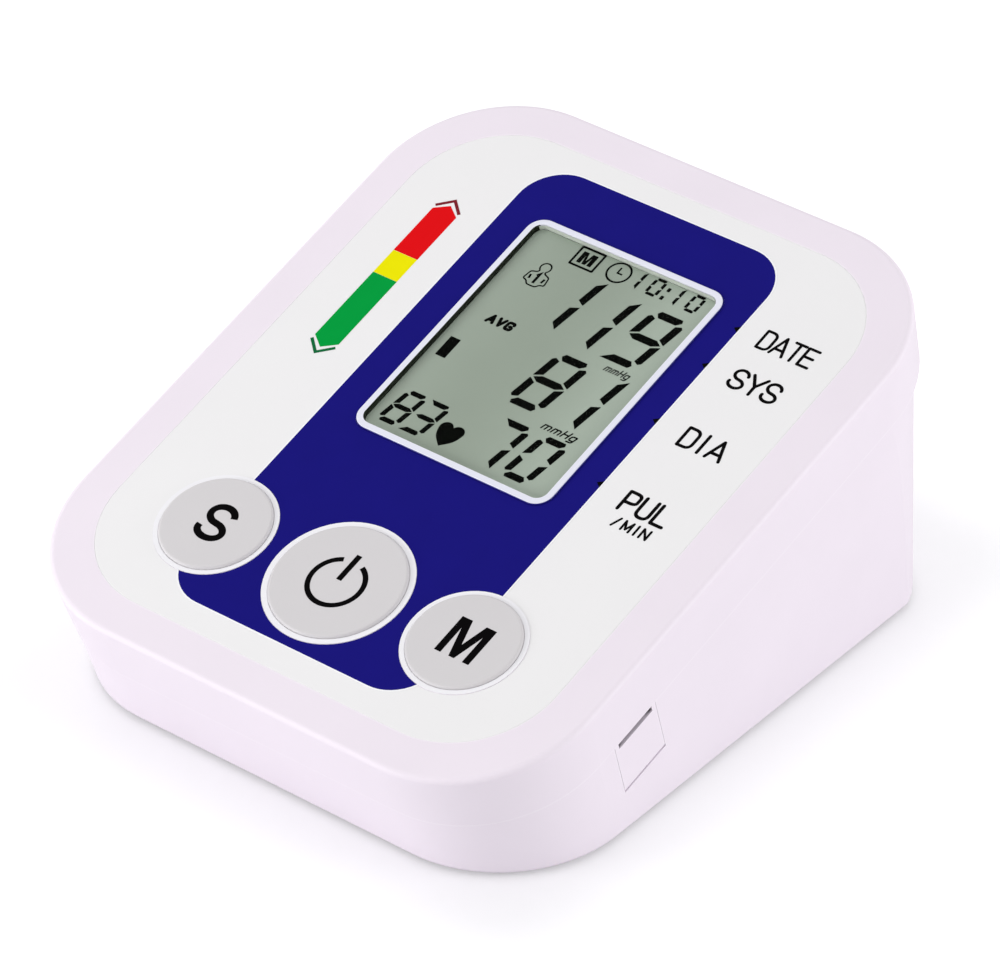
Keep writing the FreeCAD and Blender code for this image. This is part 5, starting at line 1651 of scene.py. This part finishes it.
signs = []
for number in range(4):
    x = (CELL_FIRST_X + number * CELL_PITCH) / MM
    plus, minus = FLAT_END_FRONT if number % 2 else FLAT_END_REAR
    level = [(x - SIGN_REACH, plus), (x + SIGN_REACH, plus)]
    upright = [(x, plus - SIGN_REACH), (x, plus + SIGN_REACH)]
    lone = [(x - SIGN_REACH, minus), (x + SIGN_REACH, minus)]
    for stroke, rise in ((level, SIGN_RISE), (upright, SIGN_RISE + STEP_UP), (lone, SIGN_RISE)):
        signs.append(filled([pen(stroke, SIGN_PEN)], rise))
for mesh in signs:
    mesh.transform(Matrix.Translation((0, 0, DOOR_INSIDE)) @ TO_METRES)
gather("polarity_signs", signs, "battery_door", "case")
print(len(signs), "strokes inside the battery door")

# %% [markdown]
# ## Floor and light
#
# A white table, a bright even room and large soft lamps. The lamps stand to the right and to the
# front left, so both walls that the customer sees are lit and the corner between them is a touch
# darker, which shows that it is a corner. The light level is set so that a colour renders about as it
# is written. The floor adds a little of its own light to what the camera sees of it, and a little
# more from a few centimetres off, which makes it white all over. Its weaker glow near the product is
# a painted soft shadow round the footprint, on top of the real shadow there.

# %% Stage
FLOOR_HALF = 3.0
FLOOR_NEAR = 0.225
FLOOR_FAR = 0.39
FOOTPRINT = Vector((0.045, 0.056, 0.0))
FOOTPRINT_MIDDLE = Vector((0.0, 0.005, 0.0))
FADE = (0.004, 0.028)
FLOOR_LEVEL = -0.00002

floor_mesh = bpy.data.meshes.new("floor")
corners = [(x * FLOOR_HALF, y * FLOOR_HALF) for x, y in ((-1, -1), (1, -1), (1, 1), (-1, 1))]
floor_mesh.from_pydata([(*corner, FLOOR_LEVEL) for corner in corners], [], [(0, 1, 2, 3)])
floor = put("floor", floor_mesh)

table = bpy.data.materials.new("table")
table.use_nodes = True
made = Graph(table.node_tree)
shader = table.node_tree.nodes["Principled BSDF"]
shader.inputs["Base Color"].default_value = linear(232, 232, 234)
shader.inputs["Roughness"].default_value = 0.9
shader.inputs["Specular IOR Level"].default_value = 0.1
seen = made.add("ShaderNodeLightPath").outputs["Is Camera Ray"]
shader.inputs["Emission Color"].default_value = WHITE
place = made.place()
across = made.vector("ABSOLUTE", made.vector("SUBTRACT", place, FOOTPRINT_MIDDLE))
beyond = made.vector("MAXIMUM", made.vector("SUBTRACT", across, FOOTPRINT))
# Less glow close to the footprint: a painted soft shadow round the product.
glow = made.add("ShaderNodeMapRange", {
    "Value": made.vector("LENGTH", beyond), "From Min": FADE[0], "From Max": FADE[1],
    "To Min": FLOOR_NEAR, "To Max": FLOOR_FAR,
}, interpolation_type="SMOOTHSTEP").outputs["Result"]
made.feed(shader, "Emission Strength", made.math("MULTIPLY", seen, glow))
floor_mesh.materials.append(table)
print("floor", 2 * FLOOR_HALF, "m across")

# %% [markdown]
# The room is white and even. What the camera sees of it directly, in a reflection or through
# something clear is full white, and as a light it is weaker, so the lamps still shape the product.

# %% Room
ROOM_LIGHT = 0.75

world = bpy.data.worlds.new("room")
bpy.context.scene.world = world
world.use_nodes = True
made = Graph(world.node_tree)
path = made.add("ShaderNodeLightPath").outputs
looked_at = made.math("MAXIMUM", path["Is Camera Ray"], path["Is Transmission Ray"])
looked_at = made.math("MAXIMUM", looked_at, path["Is Glossy Ray"])
strength = made.one("ShaderNodeMix", {0: looked_at, 2: ROOM_LIGHT, 3: 1.0})
room = world.node_tree.nodes["Background"]
room.inputs["Color"].default_value = WHITE
made.feed(room, "Strength", strength)
print("room light", ROOM_LIGHT)

# %% [markdown]
# Three square lamps do the rest: a weak one from above, one from the right, and the strongest from
# the front left, low down.

# %% Lamps
LAMP_AIM = Vector((0, 0, 0.03))
LAMPS = {
    "top_light": ((-0.2, 0.1, 0.8), 0.5, 0.45),
    "right_light": ((0.75, 0.35, 0.2), 0.4, 2.1),
    "front_light": ((-0.5, -0.7, 0.1), 0.4, 4.3),
}


def lamp(name, place, size, power):
    """A square soft light that looks at the middle of the product."""
    light = bpy.data.lights.new(name, "AREA")
    light.size = size
    light.energy = power
    aim = (LAMP_AIM - Vector(place)).to_track_quat("-Z", "Y")
    put(name, light).matrix_world = Matrix.Translation(place) @ aim.to_matrix().to_4x4()


for name, (place, size, power) in LAMPS.items():
    lamp(name, place, size, power)
bpy.context.scene.view_settings.view_transform = "Standard"
print(len(LAMPS), "lamps")
